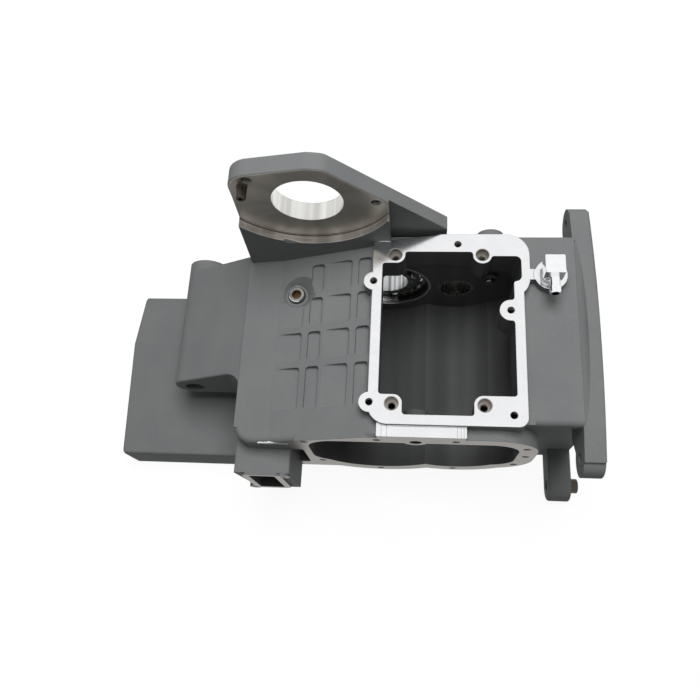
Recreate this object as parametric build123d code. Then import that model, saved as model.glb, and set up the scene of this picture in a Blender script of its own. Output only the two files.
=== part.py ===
"""Gearbox housing: an aluminium casting with its machined faces, shaft bearings, vent, plug and dowels.

Millimetres. The origin is on the main shaft axis, in the plane of the main bearing's outer face.
+X points to the engine flange, +Y to the starter side, +Z up through the top cover opening.
"""
import math
import os

from build123d import *

# Shafts
BEARING_BORE_R = 22.5
BEARING_OUTER_R = 42.5
BEARING_WIDTH = 19.0
BEARING_RACE = 5.2
BALL_R = 6.35
BALL_COUNT = 9
CAGE_WIDTH = 14.4
CAGE_THICK = 1.6
RING_THICK = 2.3
RING_DEPTH = 4.6
RING_GAP_ANGLE = 34.0
COUNTER_X = 69.0
COUNTER_Z = -4.0
CUP_R = 18.0
CUP_WALL = 1.5
CUP_LENGTH = 16.0
NEEDLE_R = 1.5
NEEDLE_COUNT = 14
RUNNING_FIT = 0.05
ROLLER_PLAY = 0.15
ROLLER_END_PLAY = 0.2
NEEDLE_CAGE_OUT = 0.5
NEEDLE_CAGE_IN = 0.7
NEEDLE_CAGE_END = 1.2
SEAT_LIP = 3.5
SEAT_LEAD = 6.0
RING_GROOVE = 2.0
RING_EDGE_PLAY = 0.1
BEARING_BOSS = 12.0
CUP_BOSS = 8.0
CUP_BOSS_STEP = 2.0

# Case planes
TOP_Z = 76.0
FRAME_RISE = 9.0
PAN_Z = -114.0
COVER_FACE_Y = -192.0
WALL_IN_Y = -24.0
BACK_WALL = 18.0
BOSS_FACE_Y = 4.0
CASE_LEFT_X = -130.0
ENGINE_FACE_X = 186.5
ENGINE_FLANGE = 18.0
CASE_WALL = 8.0
FRONT_RECESS = 14.0
FRONT_CORNER_R = 18.0
CUT_OVER = 1.0

# Sloping deck
DECK_CREST_X = -6.0
DECK_SLOPE = 19.0
DECK_KNEE_X = -96.5
DECK_TAIL_SLOPE = 8.0
DECK_EDGE_R = 5.0
DECK_THICK = 12.0

# Gear chamber
MAIN_TROUGH_R = 59.0
COUNTER_TROUGH_R = 46.0
CHAMBER_TOP_Z = 49.0
CHAMBER_LOW_Z = -36.0
CHAMBER_LEFT_X = -62.0
CHAMBER_RIGHT_X = 122.0
CHAMBER_CORNER_R = 26.0

# Top cover frame
COVER_SPAN_X = 76.2
COVER_SPAN_Y = 136.6
COVER_CENTRE_X = 50.2
COVER_CENTRE_Y = -96.6
COVER_HOLE_R = 3.2
RING_DOWEL_R = 5.6
RING_DOWEL_DEPTH = 9.0
COVER_HOLE_DEPTH = 24.0
FRAME_LEFT_X = -7.5
FRAME_RIGHT_X = 123.0
FRAME_SHOULDER_X = 128.7
FRAME_FRONT_Y = -182.3
FRAME_BACK_Y = -7.8
FRAME_EAR_R = 8.7
FRAME_BAND = 8.3
FRAME_SKIRT = 12.0
FRAME_BEVEL_RUN = 64.0
FRAME_BEVEL_DROP = 8.0
FRAME_FRONT_R = 16.0
FRAME_RIGHT_R = 8.0
FRAME_SHOULDER_R = 20.0
SHOULDER_LEAD = 23.0
EAR_SCREW_INSET = 1.0
EAR_BACK_STEP = 25.5
EAR_FRONT_STEP = 0.9
BAND_SCREW_INSET = 11.5
BAND_BACK_STEP = 52.2
BAND_FRONT_STEP = 7.7
BACK_SCREW_INSET = 21.4
BACK_SCREW_STEP = 10.5
CORNER_BOSS_X = 8.6
CORNER_BOSS_Y = 8.0
CORNER_BOSS_R = 7.5
ROUND_BOSS_R = 8.2
BAND_BOSS_R = 9.5
OPENING_R = 4.0
OPENING_BACK_STEP = 3.0
OPENING_SOFT_R = 2.6
BAY_LENGTH = 24.0
BAY_BACK_STEP = 1.0
BAY_BAND = 7.2
BAY_R = 5.0
VENT_X = 146.5
VENT_Y = -46.6
VENT_PAD_R = 14.0
VENT_PAD_DROP = 0.5
VENT_NECK = 10.0
VENT_HOLE_DEPTH = 16.0
VENT_PASSAGE_R = 2.2
VENT_PASSAGE_Z = 62.5

# Side cover flange
SIDE_RIM = 16.0
SIDE_FLANGE = 14.0
SIDE_HOLE_R = 3.2
SIDE_HOLE_DEPTH = 20.0
SIDE_TOP_SCREW_RISE = 1.0
SIDE_TOP_SCREW_BACK = 3.0
SHIFT_HOLE_X = 32.5
SHIFT_HOLE_R = 5.2
SHIFT_HOLE_RISE = 3.5
SHIFT_EAR = 5.0
SHIFT_EAR_LENGTH = 26.0

# Number pad
PAD_X = 0.0
PAD_LENGTH = 74.0
PAD_DROP = 4.0
PAD_CORNER_R = 1.0
PAD_LAP = 2.0

# Deck pockets
POCKET_DEEP = 3.0
POCKET_FLOOR_SLOPE = 9.0
POCKET_INSET = 2.0
POCKET_GAP = 2.6
POCKET_FLOOR_R = 1.2
POCKET_RIB = 6.0
POCKET_PITCH_Y = 33.3
POCKET_ROWS = 4
POCKET_FRONT_Y = -164.0
POCKET_FRONT_LENGTH = 39.0
POCKET_NARROW = 12.0
POCKET_WIDE = 24.0
POCKET_CORNER_R = 3.0

# Deck plug
PLUG_X = -81.0
PLUG_Y = -50.7
PLUG_RECESS_R = 15.5
PLUG_RECESS_FLOOR_R = 10.5
PLUG_RECESS_DEPTH = 7.5
PLUG_BOSS_R = 13.0
PLUG_R = 6.2
PLUG_LENGTH = 12.0
PLUG_HEAD_STEP = 1.2
PLUG_HEAD = 2.6
PLUG_CHAMFER = 0.6
PLUG_HEX = 8.0
PLUG_HEX_DEPTH = 5.5
PLUG_RING = 1.4
PLUG_RING_STEP = 2.0

# Pivot boss
PIVOT_X = -187.5
PIVOT_Z = -24.0
PIVOT_BOSS_R = 19.5
PIVOT_BORE_R = 9.5
PIVOT_NEAR_Y = -125.0
PIVOT_FAR_Y = 6.0
PIVOT_FILLET_R = 16.0
PIVOT_EDGE_R = 2.0

# Sump tail
SUMP_LEFT_X = -274.5
SUMP_FRONT_Y = -185.0
SUMP_BACK_Y = -4.0
SUMP_FRONT_Z = -76.0
SUMP_RIDGE_Y = -66.0
SUMP_RIDGE_Z = -63.0
SUMP_BACK_Z = -77.0
SUMP_WALL = 6.0
SUMP_CORNER_R = 6.0
SUMP_EDGE_R = 3.0
SUMP_DRAFT = 1.5
PAN_RIGHT_X = 118.0
PAN_RIM = 13.0
PAN_RIM_HEIGHT = 9.0
PAN_STEP_Z = -45.0
PAN_SCREW_R = 2.6
PAN_SCREW_DEPTH = 8.0
PAN_TAIL_SCREWS = (-260.0, -165.0)
PAN_CASE_SCREWS = (-110.0, -3.0, 104.0)

# Filler port
PORT_LEFT_X = -131.0
PORT_WIDTH = 51.0
PORT_LEAN = 7.0
PORT_FACE_Y = -217.0
PORT_LIP = 2.0
PORT_RIM = 6.0
PORT_TOP_Z = 12.0
PORT_HEIGHT = 75.0
PORT_SLOT_X = -106.0
PORT_SLOT_WIDTH = 24.0
PORT_SLOT_HEIGHT = 60.0
PORT_SLOT_TOP = 5.0
PORT_EAR_R = 6.0
PORT_SCREW_R = 2.6
PORT_SCREW_DEPTH = 14.0
PORT_EDGE_R = 2.0
PORT_SLOT_R = 2.0

# Recess between the filler port and the side cover flange
NOOK_WIDTH = 11.0
NOOK_TOP_Z = 10.0
NOOK_LOW_Z = -46.0
NOOK_DEPTH = 20.0
NOOK_R = 3.0
NOOK_BOSS_R = 3.4
NOOK_BOSS_Z = -8.0
NOOK_BOSS_LENGTH = 15.0

# Starter flange
STARTER_X = -61.0
STARTER_Z = 130.0
STARTER_BORE_R = 30.5
STARTER_FACE_Y = -7.0
STARTER_BACK_Y = 10.0
STARTER_FOOT = 8.0
STARTER_GUSSET = 3.0
STARTER_TOP_Z = 177.0
STARTER_LEFT = 63.0
STARTER_LEFT_LOW = 7.0
STARTER_LEFT_HIGH = 36.0
STARTER_LEFT_LEAN = 4.0
STARTER_LEFT_R = 20.0
STARTER_CROWN = 4.0
STARTER_CROWN_RUN = 14.0
STARTER_CROWN_FALL = 2.0
STARTER_CROWN_R = 12.0
STARTER_RIGHT = 118.5
STARTER_RIGHT_RISE = 2.0
STARTER_SINK = 20.0
STARTER_SCREWS = ((-45.0, 31.5), (57.4, -2.5))
STARTER_DOWEL_AT = (-51.0, 21.5)
SPOT_SHIFT = 1.5
STARTER_BACK_R = 2.5
STARTER_FRONT_R = 1.5
SPOT_R = 78.5
SPOT_Z = 150.0
SPOT_RIGHT_X = 7.0
STARTER_SCREW_R = 4.2
STARTER_DOWEL_R = 4.5
STARTER_DOWEL_LENGTH = 26.0
STARTER_DOWEL_PROUD = 11.0
STARTER_DOWEL_BORE_R = 1.8
STARTER_DOWEL_BORE = 6.0
STARTER_DOWEL_CHAMFER = 1.0

# Engine flange
EAR_R = 15.5
EAR_HOLE_R = 5.2
EAR_UPPER_Z = 43.0
EAR_LOWER_Z = -93.0
EAR_BACK_Y = 19.0
EAR_FRONT_Y = -200.0
LEG_EXTRA = 4.0
LEG_EDGE_R = 2.5
EAR_TIP = 6.0
EAR_SHOULDER = 4.0
EAR_NECK = 20.0
LEG_ROOT = 20.0
RIDGE_CROWN_Z = 70.7
RIDGE_END_Z = 60.0
RIDGE_TOP = 9.5
RIDGE_FILLET_R = 13.0
RIDGE_SINK = 4.0
RIDGE_FRONT = 4.0
RIDGE_BACK = 2.0
ENGINE_EDGE_R = 2.0
ENGINE_WALL_FRONT_Y = -166.0
ENGINE_RIM = 10.0
ENGINE_POCKET_TOP_Z = 51.0
ENGINE_POCKET_R = 8.0
ENGINE_WEB = 6.0
ENGINE_WEB_SET_BACK = 12.0
ENGINE_DECK_THICK = 14.0
ENGINE_DECK_R = 6.0
SLEEVE_R = 7.2
SLEEVE_PROUD = 8.0
SLEEVE_LENGTH = 18.0
SLEEVE_WALL = 1.8
SLEEVE_CHAMFER = 0.8

# Vent elbow
VENT_BLOCK = 16.5
VENT_BLOCK_Z = 4.0
VENT_WASHER_R = 9.5
VENT_WASHER_THICK = 1.6
VENT_SHANK_R = 4.9
VENT_SHANK_LENGTH = 11.0
BARB_R = 4.2
BARB_TIP_R = 5.0
BARB_BORE_R = 3.5
BARB_LENGTH = 16.0
BARB_SEAT = 5.0
BARB_RIDGE = 6.5
BARB_RIDGE_LENGTH = 0.6
BARB_RIDGE_FLAT = 4.6
BARB_TIP_LENGTH = 0.6
BARB_TIP_STEP = 0.2
VENT_BLOCK_CHAMFER = 0.6

# Inner shift pin
SHIFT_PIN_X = 99.7
SHIFT_PIN_Z = 26.0
SHIFT_BOSS_R = 7.0
SHIFT_BOSS_LENGTH = 5.0
SHIFT_PIN_R = 4.8
SHIFT_PIN_LENGTH = 18.0
SHIFT_PIN_PROUD = 3.0
SHIFT_PIN_CHAMFER = 0.8
FORK_HOLE_R = 4.5
FORK_HOLE_Z = 53.0
FORK_HOLE_X = (33.0, 77.0)
FORK_HOLE_DEPTH = 10.0

# Primary case screws on the starter side
PRIMARY_BOSS_R = 12.0
PRIMARY_SCREW_R = 4.0
PRIMARY_SCREW_DEPTH = 14.0
PRIMARY_TOP_X = 97.5
PRIMARY_TOP_DROP = 15.0
PRIMARY_LOW_SCREWS = ((107.0, -52.0), (-72.0, -66.0), (-84.0, 12.0))
SMALL_BOSS_X = 76.0
SMALL_BOSS_R = 9.0
SMALL_BOSS_STEP = 4.0

# Values worked out from the sizes above
DECK_Z = TOP_Z - FRAME_RISE
VENT_SEAT_Z = TOP_Z - VENT_PAD_DROP
BACK_Y = WALL_IN_Y + BACK_WALL
ENGINE_INNER_X = ENGINE_FACE_X - ENGINE_FLANGE
BODY_FRONT_Y = COVER_FACE_Y + FRONT_RECESS
GEAR_RIGHT_X = CHAMBER_RIGHT_X + CASE_WALL
ENGINE_WALL_BOTTOM_Z = EAR_LOWER_Z - EAR_R
BALL_PITCH_R = (BEARING_BORE_R + BEARING_OUTER_R) / 2
COVER_X = (COVER_CENTRE_X - COVER_SPAN_X / 2, COVER_CENTRE_X + COVER_SPAN_X / 2)
COVER_Y = (COVER_CENTRE_Y - COVER_SPAN_Y / 2, COVER_CENTRE_Y + COVER_SPAN_Y / 2)
PAD_Z = TOP_Z - PAD_DROP
PORT_RIGHT_X = PORT_LEFT_X + PORT_WIDTH
PORT_LOW_Z = PORT_TOP_Z - PORT_HEIGHT
SLEEVE_SEAT_X = ENGINE_FACE_X - SLEEVE_LENGTH + SLEEVE_PROUD


def prism_y(face, y0, y1):
    """Extrude a face drawn in X and Z from y0 to y1."""
    return extrude(Plane.XZ.offset(-y0) * face, y0 - y1)


def prism_x(face, x0, x1):
    """Extrude a face drawn in Y and Z from x0 to x1."""
    return extrude(Plane.YZ.offset(x0) * face, x1 - x0)


def prism_z(face, z0, z1):
    """Extrude a face drawn in X and Y from z0 to z1."""
    return extrude(Plane.XY.offset(z0) * face, z1 - z0)


def rod_y(x, z, radius, y0, y1):
    """Cylinder along Y."""
    return prism_y(Pos(x, z) * Circle(radius), y0, y1)


def rod_x(y, z, radius, x0, x1):
    """Cylinder along X."""
    return prism_x(Pos(y, z) * Circle(radius), x0, x1)


def rod_z(x, y, radius, z0, z1):
    """Cylinder along Z."""
    return prism_z(Pos(x, y) * Circle(radius), z0, z1)


def span(x0, x1, y0, y1):
    """Rectangle face from one corner to the other."""
    return Pos((x0 + x1) / 2, (y0 + y1) / 2) * Rectangle(abs(x1 - x0), abs(y1 - y0))


def rounded_span(x0, x1, y0, y1, radius):
    """Rectangle face with round corners."""
    return Pos((x0 + x1) / 2, (y0 + y1) / 2) * RectangleRounded(abs(x1 - x0), abs(y1 - y0), radius)


def polygon(points):
    """Face inside a closed run of straight edges."""
    return make_face(Polyline(*points, close=True))


def deck_height(x):
    """Height of the deck above the main shaft, level on the right and falling to the left."""
    if x >= DECK_CREST_X:
        return DECK_Z
    if x >= DECK_KNEE_X:
        return DECK_Z - (DECK_CREST_X - x) * math.tan(math.radians(DECK_SLOPE))
    return deck_height(DECK_KNEE_X) - (DECK_KNEE_X - x) * math.tan(math.radians(DECK_TAIL_SLOPE))


def deck_section(x0, x1, bottom, drop=0.0):
    """Section in X and Z under the deck line, from x0 to x1, with its top lowered by drop."""
    corners = [x for x in (DECK_KNEE_X, DECK_CREST_X) if x0 < x < x1]
    top = [(x, deck_height(x) - drop) for x in [x0, *corners, x1]]
    return polygon([(x0, bottom), *top, (x1, bottom)])


def chamber_outline():
    """Section of the gear chamber: a trough round each shaft under a common roof."""
    middle = rounded_span(CHAMBER_LEFT_X, CHAMBER_RIGHT_X, CHAMBER_LOW_Z, CHAMBER_TOP_Z, CHAMBER_CORNER_R)
    troughs = Circle(MAIN_TROUGH_R) + Pos(COUNTER_X, COUNTER_Z) * Circle(COUNTER_TROUGH_R)
    below_roof = span(CHAMBER_LEFT_X, CHAMBER_RIGHT_X, CHAMBER_TOP_Z, -2 * MAIN_TROUGH_R)
    return (middle + troughs) & below_roof


def swollen(face, amount):
    """The face's outline moved outwards by amount, with round corners."""
    return offset(face, amount, kind=Kind.ARC)


def frame_outline():
    """Plan of the milled top frame with its ears and the neck to the vent pad."""
    left = polygon([
        (FRAME_LEFT_X, FRAME_FRONT_Y),
        (FRAME_LEFT_X, FRAME_BACK_Y - FRAME_BEVEL_DROP),
        (FRAME_LEFT_X + FRAME_BEVEL_RUN, FRAME_BACK_Y),
        (COVER_CENTRE_X + FRAME_BAND, FRAME_BACK_Y),
        (COVER_CENTRE_X + FRAME_BAND, FRAME_FRONT_Y),
    ])
    left = fillet(left.vertices().group_by(Axis.Y)[0].sort_by(Axis.X)[0], FRAME_FRONT_R)
    shoulder_y = VENT_Y - SHOULDER_LEAD
    right = span(COVER_CENTRE_X, FRAME_RIGHT_X, FRAME_FRONT_Y, shoulder_y + FRAME_SHOULDER_R)
    right = fillet(right.vertices().group_by(Axis.Y)[0].sort_by(Axis.X)[-1], FRAME_RIGHT_R)
    shoulder = span(COVER_CENTRE_X, FRAME_SHOULDER_X, shoulder_y, FRAME_BACK_Y)
    shoulder = fillet(shoulder.vertices().group_by(Axis.X)[-1], FRAME_SHOULDER_R)
    ears = Sketch() + [Pos(x, y) * Circle(FRAME_EAR_R) for x, y in ear_places()]
    neck = span(FRAME_SHOULDER_X - FRAME_BAND, VENT_X, VENT_Y - VENT_NECK / 2, VENT_Y + VENT_NECK / 2)
    return left + right + shoulder + ears + neck + Pos(VENT_X, VENT_Y) * Circle(VENT_PAD_R)


def ear_places():
    """Cover screws in the two ears on the frame's left."""
    x = FRAME_LEFT_X + EAR_SCREW_INSET
    return [(x, COVER_Y[1] - EAR_BACK_STEP), (x, COVER_Y[0] + EAR_FRONT_STEP)]


def band_places():
    """Cover screws on the frame's right band, and the one at the back."""
    x = FRAME_RIGHT_X - BAND_SCREW_INSET
    back = (COVER_X[1] - BACK_SCREW_INSET, COVER_Y[1] + BACK_SCREW_STEP)
    return [(x, COVER_Y[1] - BAND_BACK_STEP), (x, COVER_Y[0] - BAND_FRONT_STEP), back]


def dowel_places():
    """Corners of the dowelled rectangle."""
    return [(x, y) for x in COVER_X for y in COVER_Y]


def frame_opening():
    """Plan of the opening inside the top frame, with a boss left standing round each screw."""
    right = FRAME_RIGHT_X - FRAME_BAND
    back = COVER_Y[1] + OPENING_BACK_STEP
    bay_back = COVER_Y[1] - BAY_BACK_STEP
    opening = rounded_span(FRAME_LEFT_X + FRAME_BAND, right, FRAME_FRONT_Y + FRAME_BAND, back, OPENING_R)
    opening -= span(COVER_X[1], right + CUT_OVER, bay_back, back + CUT_OVER)
    opening += rounded_span(COVER_X[1], FRAME_SHOULDER_X - BAY_BAND, bay_back - BAY_LENGTH, bay_back, BAY_R)
    x, y = band_places()[0]
    opening -= Pos(x, y) * Circle(BAND_BOSS_R) + span(x, right + CUT_OVER, y - BAND_BOSS_R, y + BAND_BOSS_R)
    for place in dowel_places():
        opening -= corner_boss(place)
    return softened(opening, OPENING_SOFT_R)


def corner_boss(place):
    """Boss round one corner screw, run out past the opening's edge."""
    x, y = place
    if place == (COVER_X[1], COVER_Y[1]):
        return Pos(x, y) * Circle(ROUND_BOSS_R) + span(x - ROUND_BOSS_R, x + ROUND_BOSS_R, y, y + FRAME_BEVEL_RUN)
    side_x = math.copysign(1.0, x - COVER_CENTRE_X)
    side_y = math.copysign(1.0, y - COVER_CENTRE_Y)
    far_x = x + side_x * FRAME_BEVEL_RUN
    far_y = y + side_y * FRAME_BEVEL_RUN
    return rounded_span(x - side_x * CORNER_BOSS_X, far_x, y - side_y * CORNER_BOSS_Y, far_y, CORNER_BOSS_R)


def softened(face, radius):
    """The face with its sharp corners rounded, those that point in and those that point out."""
    filled = offset(swollen(face, radius), -radius, kind=Kind.ARC)
    return swollen(offset(filled, -radius, kind=Kind.ARC), radius)


def pan_outline():
    """Plan of the sump's lower edge, from the tail to the gear case."""
    return rounded_span(SUMP_LEFT_X, PAN_RIGHT_X, SUMP_FRONT_Y, SUMP_BACK_Y, SUMP_CORNER_R)


def sump_tail():
    """Low box behind the pivot, its top slightly ridged."""
    section = polygon([
        (SUMP_FRONT_Y, PAN_Z),
        (SUMP_FRONT_Y + SUMP_DRAFT, SUMP_FRONT_Z),
        (SUMP_RIDGE_Y, SUMP_RIDGE_Z),
        (SUMP_BACK_Y - SUMP_DRAFT, SUMP_BACK_Z),
        (SUMP_BACK_Y, PAN_Z),
    ])
    box = prism_x(section, SUMP_LEFT_X, CASE_LEFT_X + CASE_WALL)
    box &= prism_z(pan_outline(), PAN_Z, 0.0)
    low = min(SUMP_FRONT_Z, SUMP_BACK_Z) - SUMP_WALL
    rim = box.edges().filter_by(lambda e: e.center().Z > low and e.center().X < CASE_LEFT_X)
    rim = rim.filter_by(lambda e: abs(e.center().Y - SUMP_RIDGE_Y) > SUMP_WALL or e.center().X < SUMP_LEFT_X + SUMP_WALL)
    return fillet(rim, SUMP_EDGE_R)


def sump_chamber():
    """Space inside the sump, open to the pan below."""
    roof = polygon([
        (SUMP_FRONT_Y + SUMP_WALL, PAN_Z),
        (SUMP_FRONT_Y + SUMP_WALL, SUMP_FRONT_Z - SUMP_WALL),
        (SUMP_RIDGE_Y, SUMP_RIDGE_Z - SUMP_WALL),
        (SUMP_BACK_Y - SUMP_WALL, SUMP_BACK_Z - SUMP_WALL),
        (SUMP_BACK_Y - SUMP_WALL, PAN_Z),
    ])
    tail = prism_x(roof, SUMP_LEFT_X + SUMP_WALL, CASE_LEFT_X + CASE_WALL)
    y0 = BODY_FRONT_Y + CASE_WALL
    y1 = BACK_Y - CASE_WALL
    riser_right = CHAMBER_LEFT_X - CASE_WALL
    riser = prism_y(deck_section(CASE_LEFT_X + CASE_WALL, riser_right, PAN_Z, DECK_THICK), y0, y1)
    under_top = -MAIN_TROUGH_R - CASE_WALL
    under = prism_y(span(riser_right - CUT_OVER, PAN_RIGHT_X - CASE_WALL, PAN_Z, under_top), y0, y1)
    return (tail + riser + under) - pan_rim()


def pan_rim():
    """Inward rim that carries the pan screws, left standing round the sump's lower edge."""
    tail = span(SUMP_LEFT_X + PAN_RIM, CASE_LEFT_X + PAN_RIM, SUMP_FRONT_Y + PAN_RIM, SUMP_BACK_Y - PAN_RIM)
    case = span(CASE_LEFT_X + PAN_RIM, PAN_RIGHT_X - PAN_RIM, BODY_FRONT_Y + PAN_RIM, BACK_Y - PAN_RIM)
    outside = swollen(tail + case, 3 * PAN_RIM)
    return prism_z(outside - tail - case, PAN_Z, PAN_Z + PAN_RIM_HEIGHT)


def main_block():
    """Solid outside of the gear case and the riser beside it, before it is hollowed."""
    block = prism_y(deck_section(CASE_LEFT_X, GEAR_RIGHT_X, PAN_Z), BODY_FRONT_Y, BACK_Y)
    block -= prism_y(span(PAN_RIGHT_X, GEAR_RIGHT_X, PAN_Z, PAN_STEP_Z), BODY_FRONT_Y, ENGINE_WALL_FRONT_Y)
    return block + deck_shelf()


def deck_shelf():
    """Front of the deck, out to the side cover's plane, with a round corner and a soft edge."""
    section = deck_section(CASE_LEFT_X, PAD_X, PORT_TOP_Z - PORT_HEIGHT)
    plan = span(CASE_LEFT_X, PAD_X, COVER_FACE_Y, BACK_Y)
    plan = fillet(plan.vertices().group_by(Axis.Y)[0].sort_by(Axis.X)[0], FRONT_CORNER_R)
    shelf = prism_y(section, COVER_FACE_Y, BACK_Y) & prism_z(plan, PAN_Z, TOP_Z)
    front = shelf.edges().filter_by(lambda e: e.center().Y < BODY_FRONT_Y)
    upper = front.filter_by(lambda e: e.center().Z > deck_height(CASE_LEFT_X) - DECK_EDGE_R)
    return fillet(upper.filter_by(lambda e: abs((e % 0.5).Z) < 0.5), DECK_EDGE_R)


def side_flange():
    """Lobed flange for the side cover."""
    outline = swollen(chamber_outline(), SIDE_RIM)
    plate = prism_y(outline, COVER_FACE_Y, COVER_FACE_Y + SIDE_FLANGE)
    barrel = prism_y(swollen(chamber_outline(), CASE_WALL), COVER_FACE_Y + SIDE_FLANGE, BACK_Y)
    under_deck = prism_y(deck_section(CASE_LEFT_X, GEAR_RIGHT_X + SIDE_RIM, 2 * PAN_Z), COVER_FACE_Y, BACK_Y)
    return (plate + barrel) & under_deck


def side_hole_places():
    """Cover screws spread round the middle of the side rim."""
    inset = SIDE_RIM / 2
    corner = CHAMBER_CORNER_R
    high = CHAMBER_TOP_Z - corner
    low = CHAMBER_LOW_Z + corner
    left = CHAMBER_LEFT_X + corner
    right = CHAMBER_RIGHT_X - corner
    return [
        (CHAMBER_RIGHT_X + inset, (high + low) / 2),
        polar(right, high, corner + inset, 24),
        polar(right, low, corner + inset, -35),
        polar(left, high, corner + inset, 145),
        polar(COUNTER_X, COUNTER_Z, COUNTER_TROUGH_R + inset, -90),
        polar(0.0, 0.0, MAIN_TROUGH_R + inset, -91),
        polar(0.0, 0.0, MAIN_TROUGH_R + inset, -147),
        (0.0, CHAMBER_TOP_Z + inset + SIDE_TOP_SCREW_RISE),
        (COUNTER_X - SIDE_TOP_SCREW_BACK, CHAMBER_TOP_Z + inset + SIDE_TOP_SCREW_RISE),
    ]


def polar(x, z, radius, angle):
    """Point at a radius and an angle in degrees from a centre."""
    return (x + radius * math.cos(math.radians(angle)), z + radius * math.sin(math.radians(angle)))


def number_pad():
    """Milled pad between the top frame and the side flange."""
    face = rounded_span(PAD_X, PAD_X + PAD_LENGTH, COVER_FACE_Y, FRAME_FRONT_Y + PAD_LAP, PAD_CORNER_R)
    return prism_z(face, CHAMBER_TOP_Z, PAD_Z)


def pivot_boss():
    """Round boss for the pivot shaft, with a tangent web up to the deck."""
    left_deck = (CASE_LEFT_X + CASE_WALL, deck_height(CASE_LEFT_X))
    boss = Pos(PIVOT_X, PIVOT_Z) * Circle(PIVOT_BOSS_R)
    reach = math.hypot(left_deck[0] - PIVOT_X, left_deck[1] - PIVOT_Z)
    lean = math.atan2(left_deck[1] - PIVOT_Z, left_deck[0] - PIVOT_X) + math.acos(PIVOT_BOSS_R / reach)
    touch = (PIVOT_X + PIVOT_BOSS_R * math.cos(lean), PIVOT_Z + PIVOT_BOSS_R * math.sin(lean))
    web = polygon([left_deck, touch, (PIVOT_X, PIVOT_Z - PIVOT_BOSS_R), (left_deck[0], PIVOT_Z - PIVOT_BOSS_R)])
    solid = prism_y(boss + web, PIVOT_NEAR_Y, PIVOT_FAR_Y)
    beyond = span(SUMP_LEFT_X, CASE_LEFT_X, BACK_Y, PIVOT_FAR_Y + CUT_OVER)
    solid -= prism_z(beyond, PAN_Z, TOP_Z)
    solid += rod_y(PIVOT_X, PIVOT_Z, PIVOT_BOSS_R, PIVOT_NEAR_Y, PIVOT_FAR_Y)
    near = solid.edges().filter_by(lambda e: on_level(e.center().Y, PIVOT_NEAR_Y))
    solid = fillet(near.filter_by(lambda e: e.center().X < CASE_LEFT_X - PIVOT_FILLET_R), PIVOT_EDGE_R)
    centre = (CASE_LEFT_X - PIVOT_FILLET_R, PIVOT_NEAR_Y - PIVOT_FILLET_R)
    corner = span(centre[0], CASE_LEFT_X + CUT_OVER, centre[1], PIVOT_NEAR_Y + CUT_OVER)
    corner -= Pos(*centre) * Circle(PIVOT_FILLET_R)
    blend = prism_z(corner, PAN_Z, TOP_Z) & prism_y(web, centre[1], PIVOT_NEAR_Y + CUT_OVER)
    return solid + blend


def filler_port():
    """Box-shaped oil filler neck beside the side cover, with a milled lip round its slot."""
    face = polygon([(PORT_LEFT_X, PORT_TOP_Z), (PORT_RIGHT_X, PORT_TOP_Z), (PORT_RIGHT_X, PORT_LOW_Z),
                    (PORT_LEFT_X + PORT_LEAN, PORT_LOW_Z)])
    box = prism_y(face, PORT_FACE_Y + PORT_LIP, BODY_FRONT_Y + CASE_WALL)
    box = fillet(box.edges().filter_by(Axis.Y), PORT_EDGE_R)
    lip = swollen(slot_outline(), PORT_RIM)
    lip += [Pos(x, z) * Circle(PORT_EAR_R) for x, z in port_screws()]
    below_top = span(PORT_LEFT_X, PORT_RIGHT_X, PORT_LOW_Z - PORT_RIM, PORT_TOP_Z)
    return box + prism_y(lip & below_top, PORT_FACE_Y, PORT_FACE_Y + 2 * PORT_LIP)


def slot_outline():
    """Outline in X and Z of the filler port's slot."""
    x0 = PORT_SLOT_X - PORT_SLOT_WIDTH / 2
    top = PORT_TOP_Z - PORT_SLOT_TOP
    return rounded_span(x0, x0 + PORT_SLOT_WIDTH, top - PORT_SLOT_HEIGHT, top, PORT_SLOT_R)


def nook():
    """Blind recess between the filler port and the side cover flange, round a small boss."""
    face = rounded_span(PORT_RIGHT_X, PORT_RIGHT_X + NOOK_WIDTH, NOOK_LOW_Z, NOOK_TOP_Z, NOOK_R)
    floor = COVER_FACE_Y + NOOK_DEPTH
    boss = rod_y(PORT_RIGHT_X + NOOK_WIDTH / 2, NOOK_BOSS_Z, NOOK_BOSS_R, floor - NOOK_BOSS_LENGTH, floor)
    return prism_y(face, COVER_FACE_Y - CUT_OVER, floor) - boss


def port_slot():
    """Slot of the filler port, through to the riser."""
    return prism_y(slot_outline(), PORT_FACE_Y, BODY_FRONT_Y + CASE_WALL + CUT_OVER)


def on_level(value, level):
    """True where a coordinate lies on a face's level."""
    return math.isclose(value, level, abs_tol=CUT_OVER / 100)


def starter_outline():
    """Outline in X and Z of the starter flange, down into the deck."""
    left = STARTER_X - STARTER_LEFT
    right = STARTER_X + STARTER_RIGHT
    crown = STARTER_X + STARTER_CROWN
    outline = polygon([
        (left - STARTER_LEFT_LEAN, deck_height(left) - CASE_WALL),
        (left, STARTER_Z + STARTER_LEFT_LOW),
        (left, STARTER_Z + STARTER_LEFT_HIGH),
        (crown, STARTER_TOP_Z),
        (crown + STARTER_CROWN_RUN, STARTER_TOP_Z - STARTER_CROWN_FALL),
        (right, TOP_Z + STARTER_RIGHT_RISE),
        (right, DECK_Z - STARTER_SINK),
    ])
    upper = outline.vertices().filter_by(lambda v: v.Y > STARTER_Z + STARTER_LEFT_LOW + CUT_OVER)
    outline = fillet(upper.sort_by(Axis.X)[0], STARTER_LEFT_R)
    return fillet(outline.vertices().filter_by(lambda v: v.Y > STARTER_TOP_Z - CASE_WALL / 2), STARTER_CROWN_R)


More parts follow.
